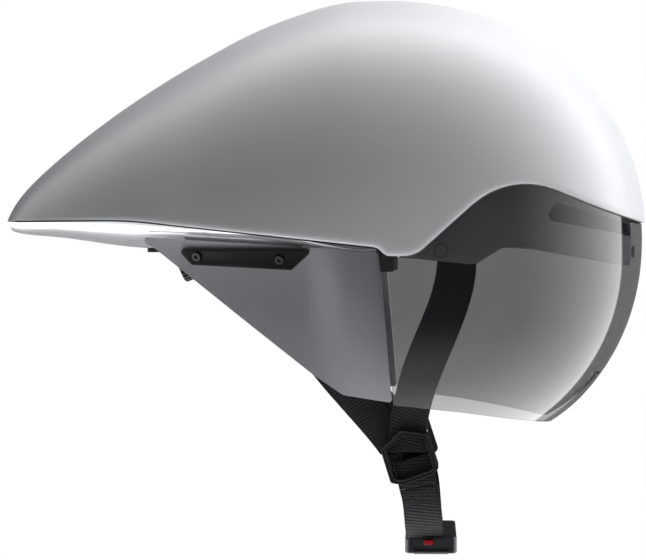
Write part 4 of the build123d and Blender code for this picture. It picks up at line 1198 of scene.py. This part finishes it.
@dataclass(frozen=True)
class CopiedPiece:
    """A CAD node that is shown as a tidied copy."""

    node: str
    name: str
    body: str
    slot: str
    finish: Surface
    smooth_deg: float = COPY_SMOOTH_DEG
    edge_mm: float = 0.0
    lining: Optional[Surface] = None
    closes_mm: float = 0.0
    groove_mm: Optional[Point] = None

    def copy(self) -> Any:
        """The node's mesh, tidied."""
        return tidy_copy(self.node, self.name, self.smooth_deg)

    def hand_over(self, obj: Any) -> None:
        """Dresses the finished copy and lets it stand for the node.

        Args:
            obj: the copy.
        """
        finishes = (self.finish, self.lining) if self.lining else (self.finish,)
        dress(obj, *finishes)
        settle(obj, self.body, self.slot, self.node)


def pair(node: str, name: str, *rest: Any, **options: Any) -> list[CopiedPiece]:
    """The right and the left piece of a pair that is alike but for its side."""
    return [CopiedPiece(f"{node}_{s}", f"{name}_{s}", *rest, **options) for s in SIDES]


HARD_PIECES = (
    CopiedPiece(
        "lower_shell", "tail_underside_skin", "helmet", "lower_silver", SILVER_PAINT,
        smooth_deg=24,
    ),
    CopiedPiece("liner", "foam_liner", "helmet", "foam_black", FOAM),
    CopiedPiece("brow_magnets", "brow_magnet_discs", "helmet", "magnet_steel", EPOXY_COAT),
    CopiedPiece("lens_magnets", "lens_magnet_discs", "lens", "magnet_steel", EPOXY_COAT),
    CopiedPiece(
        "wing_panel_right", "ear_panel_right", "helmet", "panel_grey", PANEL_SKIN,
        lining=PANEL_LINING,
    ),
    CopiedPiece(
        "wing_panel_left", "ear_panel_left", "helmet", "panel_grey", PANEL_SKIN,
        lining=PANEL_LINING, closes_mm=0.22,
    ),
    *pair("bracket_plate", "panel_plate", "helmet", "plastic_black", BLACK_NYLON, edge_mm=0.35),
    CopiedPiece("panel_screws", "socket_screws", "helmet", "screw_steel", SCREW_STEEL),
    CopiedPiece("screw_inserts", "threaded_inserts", "helmet", "insert_brass", BRASS),
    CopiedPiece("rear_bumper", "ribbed_bumper", "helmet", "rubber_black", RUBBER),
    CopiedPiece("strap_plugs", "strap_end_plugs", "helmet", "plastic_black", BLACK_NYLON),
    *pair(
        "divider", "jaw_divider", "helmet", "plastic_black", SATIN_NYLON,
        edge_mm=0.2, groove_mm=(0.6, 0.6),
    ),
    CopiedPiece(
        "buckle_body", "buckle_body_shell", "helmet", "plastic_black", SATIN_NYLON, edge_mm=0.35
    ),
    CopiedPiece(
        "buckle_clip", "buckle_clip_shell", "chin_strap", "plastic_black", SATIN_NYLON,
        edge_mm=0.35,
    ),
    CopiedPiece("body_magnet", "buckle_magnet_upper", "helmet", "magnet_steel", NICKEL),
    CopiedPiece("clip_magnet", "buckle_magnet_lower", "chin_strap", "magnet_steel", NICKEL),
    CopiedPiece("release_tab", "red_release_tab", "tab", "tab_red", RED_ACETAL, edge_mm=0.25),
    CopiedPiece("cradle", "nape_cradle", "cradle", "cradle_black", BLACK_NYLON),
    CopiedPiece("dial_housing", "dial_case", "cradle", "plastic_black", BLACK_NYLON),
    CopiedPiece("dial_knob", "ribbed_dial", "dial", "rubber_black", RUBBER),
    CopiedPiece("pinion", "dial_pinion", "dial", "gear_white", ACETAL),
    CopiedPiece("rack_left", "left_rack", "rack_left", "gear_white", ACETAL),
    CopiedPiece("rack_right", "right_rack", "rack_right", "gear_white", ACETAL),
    *pair("band", "side_band", "helmet", "cradle_black", GREY_NYLON),
    CopiedPiece("band_pins", "side_band_pins", "helmet", "plastic_black", BLACK_NYLON),
)

WEB_PIECES = (
    *pair("front_strap", "front_webbing", "helmet", "webbing", WEBBING),
    *pair("rear_strap", "rear_webbing", "helmet", "webbing", WEBBING),
    *pair("strap_loop", "webbing_loop", "helmet", "webbing", WEBBING),
    CopiedPiece("lower_strap_right", "lower_webbing_right", "helmet", "webbing", WEBBING),
    CopiedPiece("lower_strap_left", "lower_webbing_left", "chin_strap", "webbing", WEBBING),
)

PAD_PIECES = (
    CopiedPiece("brow_pad", "brow_cushion", "helmet", "pad_fabric", KNIT),
    CopiedPiece("crown_pad", "crown_cushion", "helmet", "pad_fabric", KNIT),
    *pair("side_pad", "side_cushion", "helmet", "pad_fabric", KNIT),
    CopiedPiece("rear_pad", "rear_cushion", "helmet", "pad_fabric", KNIT),
    CopiedPiece("nape_pads", "nape_cushions", "cradle", "pad_fabric", KNIT),
)


@dataclass
class HardParts:
    """Moulded, turned and plated pieces that keep their solids' shape, but for fine edges."""

    pieces: Iterable[CopiedPiece] = HARD_PIECES
    # How squarely a face looks sideways to be grooved, and outwards to stay unlined
    grooved_face: float = 0.96
    unlined_face: float = 0.3
    groove_slope_mm: float = 0.15
    front_edge_mm: float = 0.5

    def build(self) -> None:
        """Copies, tidies and dresses each piece."""
        for piece in self.pieces:
            obj = piece.copy()
            if piece.groove_mm:
                self._groove(obj, *piece.groove_mm)
            if piece.edge_mm:
                crisp(obj, piece.edge_mm)
            if piece.closes_mm:
                self._close_seam(obj, piece.closes_mm)
            if piece.lining:
                self._line_inner(obj)
            piece.hand_over(obj)

    def _groove(self, obj: Any, rim_mm: float, depth_mm: float) -> None:
        """Sinks a channel into a flat piece's outer face, between two rims.

        Args:
            obj: a piece on one side of the helmet, whose outer face looks sideways.
            rim_mm: width of the rim left standing on each side.
            depth_mm: how deep the channel lies.
        """
        with edited(obj.data) as work:
            merge_flat(work)
            side = math.copysign(1.0, sum(v.co.y for v in work.verts))
            front = [f for f in work.faces if f.normal.y * side > self.grooved_face]
            for width, depth in ((rim_mm, 0.0), (self.groove_slope_mm, -depth_mm)):
                bmesh.ops.inset_region(
                    work, faces=front, thickness=width * MM, depth=depth * MM,
                    use_even_offset=False,
                )

    def _close_seam(self, obj: Any, reach_mm: float) -> None:
        """Brings a panel's front edge nearer to the lens, whose rear edge it follows.

        Args:
            obj: the panel.
            reach_mm: how far the edge moves.
        """
        skins = Skins()
        for vertex in obj.data.vertices:
            edge = skins.lens_back(vertex.co.z / MM) - skins.seam
            if vertex.co.x / MM > edge - self.front_edge_mm:
                vertex.co.x += reach_mm * MM

    def _line_inner(self, obj: Any) -> None:
        """Gives the second finish to all faces but those that look outwards.

        Args:
            obj: a panel on one side of the helmet.
        """
        for face in obj.data.polygons:
            outward = math.copysign(face.normal.y, face.normal.y * face.center.y)
            face.material_index = 0 if outward > self.unlined_face else 1


@dataclass(frozen=True)
class WebRoute:
    """The line a strap follows on the rider's right: X, reach from the middle plane, Z."""

    points: tuple[Place, ...]

    def flat(self, x: float, z: float) -> Point:
        """Unrolls a point of the side view.

        Args:
            x: its station in millimetres.
            z: its level.

        Returns:
            Its distance from the strap's middle line, and how far along the strap it lies.
        """
        here = Vector((x, z))
        best, run = (math.inf, 0.0, 0.0), 0.0
        for (x0, _, z0), (x1, _, z1) in zip(self.points, self.points[1:]):
            start, along = Vector((x0, z0)), Vector((x1 - x0, z1 - z0))
            length = along.length
            way = along / length
            passed = (here - start).dot(way)
            across = way.x * (here - start).y - way.y * (here - start).x
            miss = max(-passed, passed - length, 0.0)
            if miss < best[0]:
                best = (miss, across, run + passed)
            run += length
        return best[1], best[2]

    def at(self, run: float, across: float, rise: float, side: int) -> Vector:
        """A point on the strap's outer face.

        Args:
            run: distance from the strap's upper end, in millimetres.
            across: distance from its middle line.
            rise: height over its middle surface.
            side: minus one for the rider's right, one for the left.

        Returns:
            The point in millimetres.
        """
        for (x0, y0, z0), (x1, y1, z1) in zip(self.points, self.points[1:]):
            start, along = Vector((x0, y0, z0)), Vector((x1 - x0, y1 - y0, z1 - z0))
            if run <= along.length:
                break
            run -= along.length
        way = along.normalized()
        wide = way.cross(Vector((0, 1, 0))).normalized()
        out = wide.cross(way)
        out = out if out.y > 0 else -out
        place = start + way * run + wide * across + out * rise
        return Vector((place.x, side * place.y, place.z))


ROUTES = {
    "front_strap": WebRoute(
        ((27.6, 84, 0), (21.9, 80, -32), (8, 69, -68), (4.6, 63.3, -86), (4.4, 61.8, -96.5))
    ),
    "rear_strap": WebRoute(
        (
            (-61, 76.6, 4), (-49, 74, -30), (-31.5, 69, -56.5), (-14.5, 63.2, -76.5),
            (-1.5, 60.6, -92.5),
        )
    ),
    "strap_loop": WebRoute(((5.8, 61.2, -99.8), (7.6, 60.5, -106), (9, 59.6, -112.2))),
    "lower_strap": WebRoute(
        (
            (9.3, 59.3, -113.6), (10.9, 56.8, -121), (11.8, 50.5, -131.2), (12.6, 40.8, -139),
            (12.8, 34.5, -142),
        )
    ),
}


@dataclass
class Webbing:
    """Flat woven straps with their sewn bar tacks. Sizes in millimetres."""

    pieces: Iterable[CopiedPiece] = WEB_PIECES
    thickness: float = 1.4
    edge: float = 0.4
    folded_node: str = "strap_loop_right"
    fold_from: float = 9.0
    fold_over: float = 3.0
    foot: float = 1.1
    tacked_strap: str = "lower_strap"
    tack_starts: tuple[float, ...] = (2.0, 24.0)
    tack_half_width: float = 7.2
    tack_half_points: int = 4
    tack_rows: int = 4
    row_gap: float = 1.3
    thread_rise: float = 0.14

    def build(self) -> None:
        """Copies, weaves and dresses each strap, then sews the tacks."""
        for piece in self.pieces:
            obj = piece.copy()
            crisp(obj, self.edge)
            route = ROUTES[piece.node.rsplit("_", 1)[0]]
            if piece.node == self.folded_node:
                self._fold(obj, route)
            self._weave_uv(obj, route)
            piece.hand_over(obj)
        for body, side in (("helmet", -1), ("chin_strap", 1)):
            self._sew(f"bar_tacks_{body}", body, side)

    def _fold(self, obj: Any, route: WebRoute) -> None:
        """Lets the loop's foot reach down to the strap it is sewn to.

        Args:
            obj: the loop.
            route: the line it follows.
        """
        way = (Vector(route.points[-1]) - Vector(route.points[-2])).normalized()
        for vertex in obj.data.vertices:
            _, run = route.flat(vertex.co.x / MM, vertex.co.z / MM)
            share = min(max((run - self.fold_from) / self.fold_over, 0.0), 1.0)
            side = math.copysign(1.0, vertex.co.y)
            move = way * (self.foot * share * MM)
            vertex.co += Vector((move.x, side * move.y, move.z))

    @staticmethod
    def _weave_uv(obj: Any, route: WebRoute) -> None:
        """Unrolls a strap: across it in U, along it in V, in millimetres.

        Args:
            obj: the strap.
            route: the line it follows.
        """
        mesh = obj.data
        layer = mesh.uv_layers.new(name="weave")
        spots = [route.flat(v.co.x / MM, v.co.z / MM) for v in mesh.vertices]
        for loop in mesh.loops:
            layer.data[loop.index].uv = spots[loop.vertex_index]

    def _sew(self, name: str, body: str, side: int) -> None:
        """Lays rows of stitches across the lower strap of one body.

        Args:
            name: the stitches' name.
            body: the CAD body they move with.
            side: minus one for the rider's right, one for the left.
        """
        route, count = ROUTES[self.tacked_strap], self.tack_half_points
        rise = self.thickness / 2 + self.thread_rise
        places = [self.tack_half_width * k / count for k in range(-count, count + 1)]
        paths = []
        for start in self.tack_starts:
            for row in range(self.tack_rows):
                run = start + row * self.row_gap
                paths.append([route.at(run, across, rise, side) for across in places])
        obj = StitchRows().lay(name, paths, THREAD)
        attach(obj, body)
        log.info("%s sewn with %d rows", name, len(paths))


@dataclass(frozen=True)
class StitchRows:
    """Thread laid in stitches along paths by Geometry Nodes."""

    pitch_mm: float = 1.5
    stitch_mm: float = 1.3
    thread_mm: float = 0.32
    seed: int = 7
    segments: int = 8
    rings: int = 7
    size_range: Point = (0.92, 1.05)

    def _group(self) -> Any:
        """The node group: path to points, a stitch on each, made real and dressed.

        Returns:
            The group, built once.
        """
        known = bpy.data.node_groups.get("stitch_rows")
        if known:
            return known
        tree = bpy.data.node_groups.new("stitch_rows", "GeometryNodeTree")
        sockets = tree.interface
        sockets.new_socket("Geometry", in_out="INPUT", socket_type="NodeSocketGeometry")
        for name in ("Pitch", "Stitch Length", "Thread Radius"):
            sockets.new_socket(name, in_out="INPUT", socket_type="NodeSocketFloat")
        sockets.new_socket("Thread", in_out="INPUT", socket_type="NodeSocketMaterial")
        sockets.new_socket("Geometry", in_out="OUTPUT", socket_type="NodeSocketGeometry")
        given = add_node(tree, "NodeGroupInput").outputs
        curve = add_node(tree, "GeometryNodeMeshToCurve", {0: given["Geometry"]})
        points = add_node(
            tree,
            "GeometryNodeCurveToPoints",
            {"Curve": curve, "Length": given["Pitch"]},
            mode="LENGTH",
        )
        ball = add_node(
            tree,
            "GeometryNodeMeshUVSphere",
            {"Segments": self.segments, "Rings": self.rings, "Radius": given["Thread Radius"]},
        )
        # The ball of thread is stretched until it is as long as a stitch
        ratio = add_node(
            tree,
            "ShaderNodeMath",
            {0: given["Stitch Length"], 1: given["Thread Radius"]},
            operation="DIVIDE",
        )
        stretch = add_node(tree, "ShaderNodeMath", {0: ratio, 1: 0.5}, operation="MULTIPLY")
        size = add_node(tree, "ShaderNodeCombineXYZ", {"X": 1.0, "Y": 1.0, "Z": stretch})
        smallest, largest = self.size_range
        vary = add_node(
            tree,
            "FunctionNodeRandomValue",
            {2: smallest, 3: largest, "Seed": self.seed},
            data_type="FLOAT",
        )
        placed = add_node(
            tree,
            "GeometryNodeInstanceOnPoints",
            {
                "Points": points,
                "Instance": add_node(
                    tree, "GeometryNodeTransform", {"Geometry": ball, "Scale": size}
                ),
                "Rotation": points.outputs["Rotation"],
                "Scale": vary.outputs[1],
            },
        )
        real = add_node(tree, "GeometryNodeRealizeInstances", {0: placed})
        smooth = add_node(tree, "GeometryNodeSetShadeSmooth", {0: real})
        dressed = add_node(
            tree, "GeometryNodeSetMaterial", {"Geometry": smooth, "Material": given["Thread"]}
        )
        add_node(tree, "NodeGroupOutput", {0: dressed})
        return tree

    def lay(self, name: str, paths: Sequence[Sequence[Vector]], thread: Surface) -> Any:
        """Sews along paths and keeps the result as a plain mesh.

        Args:
            name: the object's name.
            paths: lines of points in millimetres.
            thread: the thread's finish.

        Returns:
            The stitches as one object.
        """
        verts, edges = [], []
        for path in paths:
            first = len(verts)
            verts += [p * MM for p in path]
            edges += [(first + i, first + i + 1) for i in range(len(path) - 1)]
        mesh = bpy.data.meshes.new(name)
        mesh.from_pydata(verts, edges, [])
        obj = place_object(name, mesh)
        modifier = obj.modifiers.new("stitches", "NODES")
        modifier.node_group = self._group()
        values = {
            "Pitch": self.pitch_mm * MM,
            "Stitch Length": self.stitch_mm * MM,
            "Thread Radius": self.thread_mm / 2 * MM,
            "Thread": thread.material(),
        }
        for socket in modifier.node_group.interface.items_tree:
            if socket.in_out == "INPUT" and socket.name in values:
                modifier[socket.identifier] = values[socket.name]
        keep_shown(obj)
        return obj


@dataclass
class Padding:
    """Comfort pads: their solids remeshed, swollen as cloth under pressure and subdivided."""

    pieces: Iterable[CopiedPiece] = PAD_PIECES
    voxel_mm: float = 2.2
    shrink_mm: float = 0.4
    pressure: float = 4.0
    frames: int = 20
    cap_mm: float = 0.8
    fill: float = 0.7
    smoothing: float = 0.5
    even_passes: int = 4
    last_passes: int = 3

    def build(self) -> None:
        """Swells and dresses each pad, and lets it stand for its node."""
        for piece in self.pieces:
            obj = piece.copy()
            self._even(obj)
            self._swell(obj)
            self._refine(obj)
            soften(obj.data, PAD_SMOOTH_DEG)
            piece.hand_over(obj)

    def _smooth(self, obj: Any, passes: int) -> None:
        """Adds a smoothing to a pad.

        Args:
            obj: the pad.
            passes: how often it smooths.
        """
        smooth = obj.modifiers.new("smooth", "SMOOTH")
        smooth.factor = self.smoothing
        smooth.iterations = passes

    def _even(self, obj: Any) -> None:
        """Gives a pad an even mesh, rounded and a little smaller than its solid.

        Args:
            obj: the pad.
        """
        remesh = obj.modifiers.new("even", "REMESH")
        remesh.mode = "VOXEL"
        remesh.voxel_size = self.voxel_mm * MM
        self._smooth(obj, self.even_passes)
        keep_shown(obj)
        normals = [v.normal.copy() for v in obj.data.vertices]
        for vertex, normal in zip(obj.data.vertices, normals):
            vertex.co -= normal * self.shrink_mm * MM

    def _swell(self, obj: Any) -> None:
        """Blows a pad up as cloth and limits how far each point moved.

        Args:
            obj: the pad.
        """
        scene = bpy.context.scene
        start = [v.co.copy() for v in obj.data.vertices]
        cloth = obj.modifiers.new("swell", "CLOTH")
        cloth.settings.use_pressure = True
        cloth.settings.uniform_pressure_force = self.pressure
        cloth.settings.effector_weights.gravity = 0.0
        for number in range(1, self.frames + 1):
            scene.frame_set(number)
        keep_shown(obj)
        scene.frame_set(1)
        for vertex, before in zip(obj.data.vertices, start):
            move = vertex.co - before
            if move.length > self.cap_mm * MM:
                vertex.co = before + move.normalized() * self.cap_mm * MM

    def _refine(self, obj: Any) -> None:
        """Smooths a pad and adds one subdivision.

        Args:
            obj: the pad.
        """
        self._smooth(obj, self.last_passes)
        finer = obj.modifiers.new("finer", "SUBSURF")
        finer.levels = 1
        finer.render_levels = 1
        keep_shown(obj)


@dataclass
class Studio:
    """Camera, soft lights and white surroundings. Places in metres."""

    camera_at: Place = (0.015, -1.400, -0.0025)
    looks_at: Place = (-0.0385, 0.0, -0.015)
    lit_at: Place = (-0.06, 0.0, 0.0)
    focal_px: float = 2800.0
    frame_px: float = 646.0
    sensor_mm: float = 36.0
    clip: Point = (0.05, 20.0)
    floor_z: float = -0.42
    floor_half: float = 3.0
    ambient: float = 0.14
    softbox_level: float = 4.3
    softbox_base: float = 0.03
    softbox_tilt: float = 0.33
    softbox_span: Point = (-0.76, 0.5)
    softbox_curve: float = 1.15
    softbox_edge: Point = (0.48, 0.53)
    floor_glow: float = 0.6
    floor_span: Point = (-0.5, -0.95)
    lamps: tuple[tuple[str, Place, Point, float], ...] = (
        ("front_softbox", (1.35, 0.30, 0.57), (0.9, 0.9), 18.5),
        ("top_softbox", (0.0, 0.36, 1.23), (1.2, 0.9), 18.0),
        ("side_softbox", (0.2, -1.6, 0.1), (1.4, 1.0), 0.9),
        ("floor_bounce", (-0.14, -0.06, -0.41), (0.4, 0.3), 1.7),
    )

    def build(self) -> None:
        """Sets up everything round the helmet."""
        scene = bpy.context.scene
        scene.view_settings.view_transform = "Standard"
        self._camera(scene)
        self._world(scene)
        self._floor()
        for lamp in self.lamps:
            self._light(*lamp)

    @staticmethod
    def _aim(obj: Any, at: Place, target: Place) -> None:
        """Stands a lamp or camera at a place and points it at another."""
        obj.location = at
        obj.rotation_euler = (Vector(target) - Vector(at)).to_track_quat("-Z", "Y").to_euler()

    def _camera(self, scene: Any) -> None:
        """Places the camera where the photograph was taken from.

        Args:
            scene: the scene it films.
        """
        data = bpy.data.cameras.new("photo_camera")
        data.sensor_width = self.sensor_mm
        data.sensor_fit = "HORIZONTAL"
        data.lens = self.focal_px / self.frame_px * self.sensor_mm
        data.clip_start, data.clip_end = self.clip
        camera = place_object("photo_camera", data)
        self._aim(camera, self.camera_at, self.looks_at)
        scene.camera = camera

    def _softbox(self, tree: Any) -> Any:
        """The brightness that a mirrored ray finds, by its direction.

        A ray back towards the camera finds next to nothing. It finds more the further it turns
        aside, up to a soft edge past the helmet's side, less where it points down, and at last
        the floor's faint glow.

        Args:
            tree: the world's node tree.

        Returns:
            The node that ends in the brightness.
        """
        place = add_node(tree, "ShaderNodeTexCoord").outputs["Generated"]
        way = add_node(tree, "ShaderNodeSeparateXYZ", {0: place}).outputs
        low = add_node(tree, "ShaderNodeMath", {0: way["Z"], 1: 0.0}, operation="MINIMUM")
        facing = add_node(
            tree,
            "ShaderNodeMath",
            {0: low, 1: self.softbox_tilt, 2: way["Y"]},
            operation="MULTIPLY_ADD",
        )
        start, end = self.softbox_span
        rise = add_node(
            tree, "ShaderNodeMapRange", {"Value": facing, "From Min": start, "From Max": end}
        )
        curve = {0: rise, 1: self.softbox_curve}
        bent = add_node(tree, "ShaderNodeMath", curve, operation="POWER")
        start, end = self.softbox_edge
        edge = add_node(
            tree,
            "ShaderNodeMapRange",
            {"Value": facing, "From Min": start, "From Max": end, "To Min": 1.0, "To Max": 0.0},
            interpolation_type="SMOOTHSTEP",
        )
        panel = add_node(tree, "ShaderNodeMath", {0: bent, 1: edge}, operation="MULTIPLY")
        above = add_node(
            tree,
            "ShaderNodeMath",
            {0: panel, 1: self.softbox_level, 2: self.softbox_base},
            operation="MULTIPLY_ADD",
        )
        start, end = self.floor_span
        glow = {"Value": way["Z"], "From Min": start, "From Max": end, "To Max": self.floor_glow}
        below = add_node(tree, "ShaderNodeMapRange", glow, interpolation_type="SMOOTHSTEP")
        return add_node(tree, "ShaderNodeMath", {0: above, 1: below}, operation="ADD")

    def _world(self, scene: Any) -> None:
        """White to look at, a graded softbox to mirrors, a plain level as light.

        Args:
            scene: the scene it surrounds.
        """
        world = bpy.data.worlds.new("studio")
        world.use_nodes = True
        tree = world.node_tree
        tree.nodes.clear()
        path = add_node(tree, "ShaderNodeLightPath").outputs
        light, mirrored, seen = (
            add_node(tree, "ShaderNodeBackground", {"Color": WHITE, "Strength": strength})
            for strength in (self.ambient, self._softbox(tree), 1.0)
        )
        inner = add_node(
            tree, "ShaderNodeMixShader", {0: path["Is Glossy Ray"], 1: light, 2: mirrored}
        )
        mixed = add_node(tree, "ShaderNodeMixShader", {0: path["Is Camera Ray"], 1: inner, 2: seen})
        add_node(tree, "ShaderNodeOutputWorld", {"Surface": mixed})
        scene.world = world

    def _floor(self) -> None:
        """Lays a pale floor well below the helmet, out of the photograph's frame."""
        size, z = self.floor_half / MM, self.floor_z / MM
        corners = [(-size, -size, z), (size, -size, z), (size, size, z), (-size, size, z)]
        floor = mesh_object("studio_floor", corners, [[0, 1, 2, 3]])
        floor.data.materials.append(FloorPaint().material())
        floor.visible_glossy = False

    def _light(self, name: str, at: Place, size: Point, watts: float) -> None:
        """Hangs a soft rectangular lamp that points at the helmet.

        Args:
            name: the lamp's name.
            at: where it hangs.
            size: its width and height.
            watts: its power.
        """
        data = bpy.data.lights.new(name, "AREA")
        data.shape = "RECTANGLE"
        data.size, data.size_y = size
        data.energy = watts
        lamp = place_object(name, data)
        lamp.visible_glossy = False
        self._aim(lamp, at, self.lit_at)


def main() -> None:
    """Builds every sub-assembly in order."""
    logging.basicConfig(level=logging.INFO, format="%(name)s: %(message)s")
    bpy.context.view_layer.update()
    Skins().build()
    HardParts().build()
    Webbing().build()
    Padding().build()
    Studio().build()


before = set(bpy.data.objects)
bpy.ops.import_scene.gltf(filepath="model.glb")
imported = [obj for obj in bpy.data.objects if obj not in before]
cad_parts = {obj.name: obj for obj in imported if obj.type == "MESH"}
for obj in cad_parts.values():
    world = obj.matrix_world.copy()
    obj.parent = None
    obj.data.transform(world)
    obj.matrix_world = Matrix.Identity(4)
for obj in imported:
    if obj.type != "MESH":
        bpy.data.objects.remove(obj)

if __name__ == "__main__":
    main()
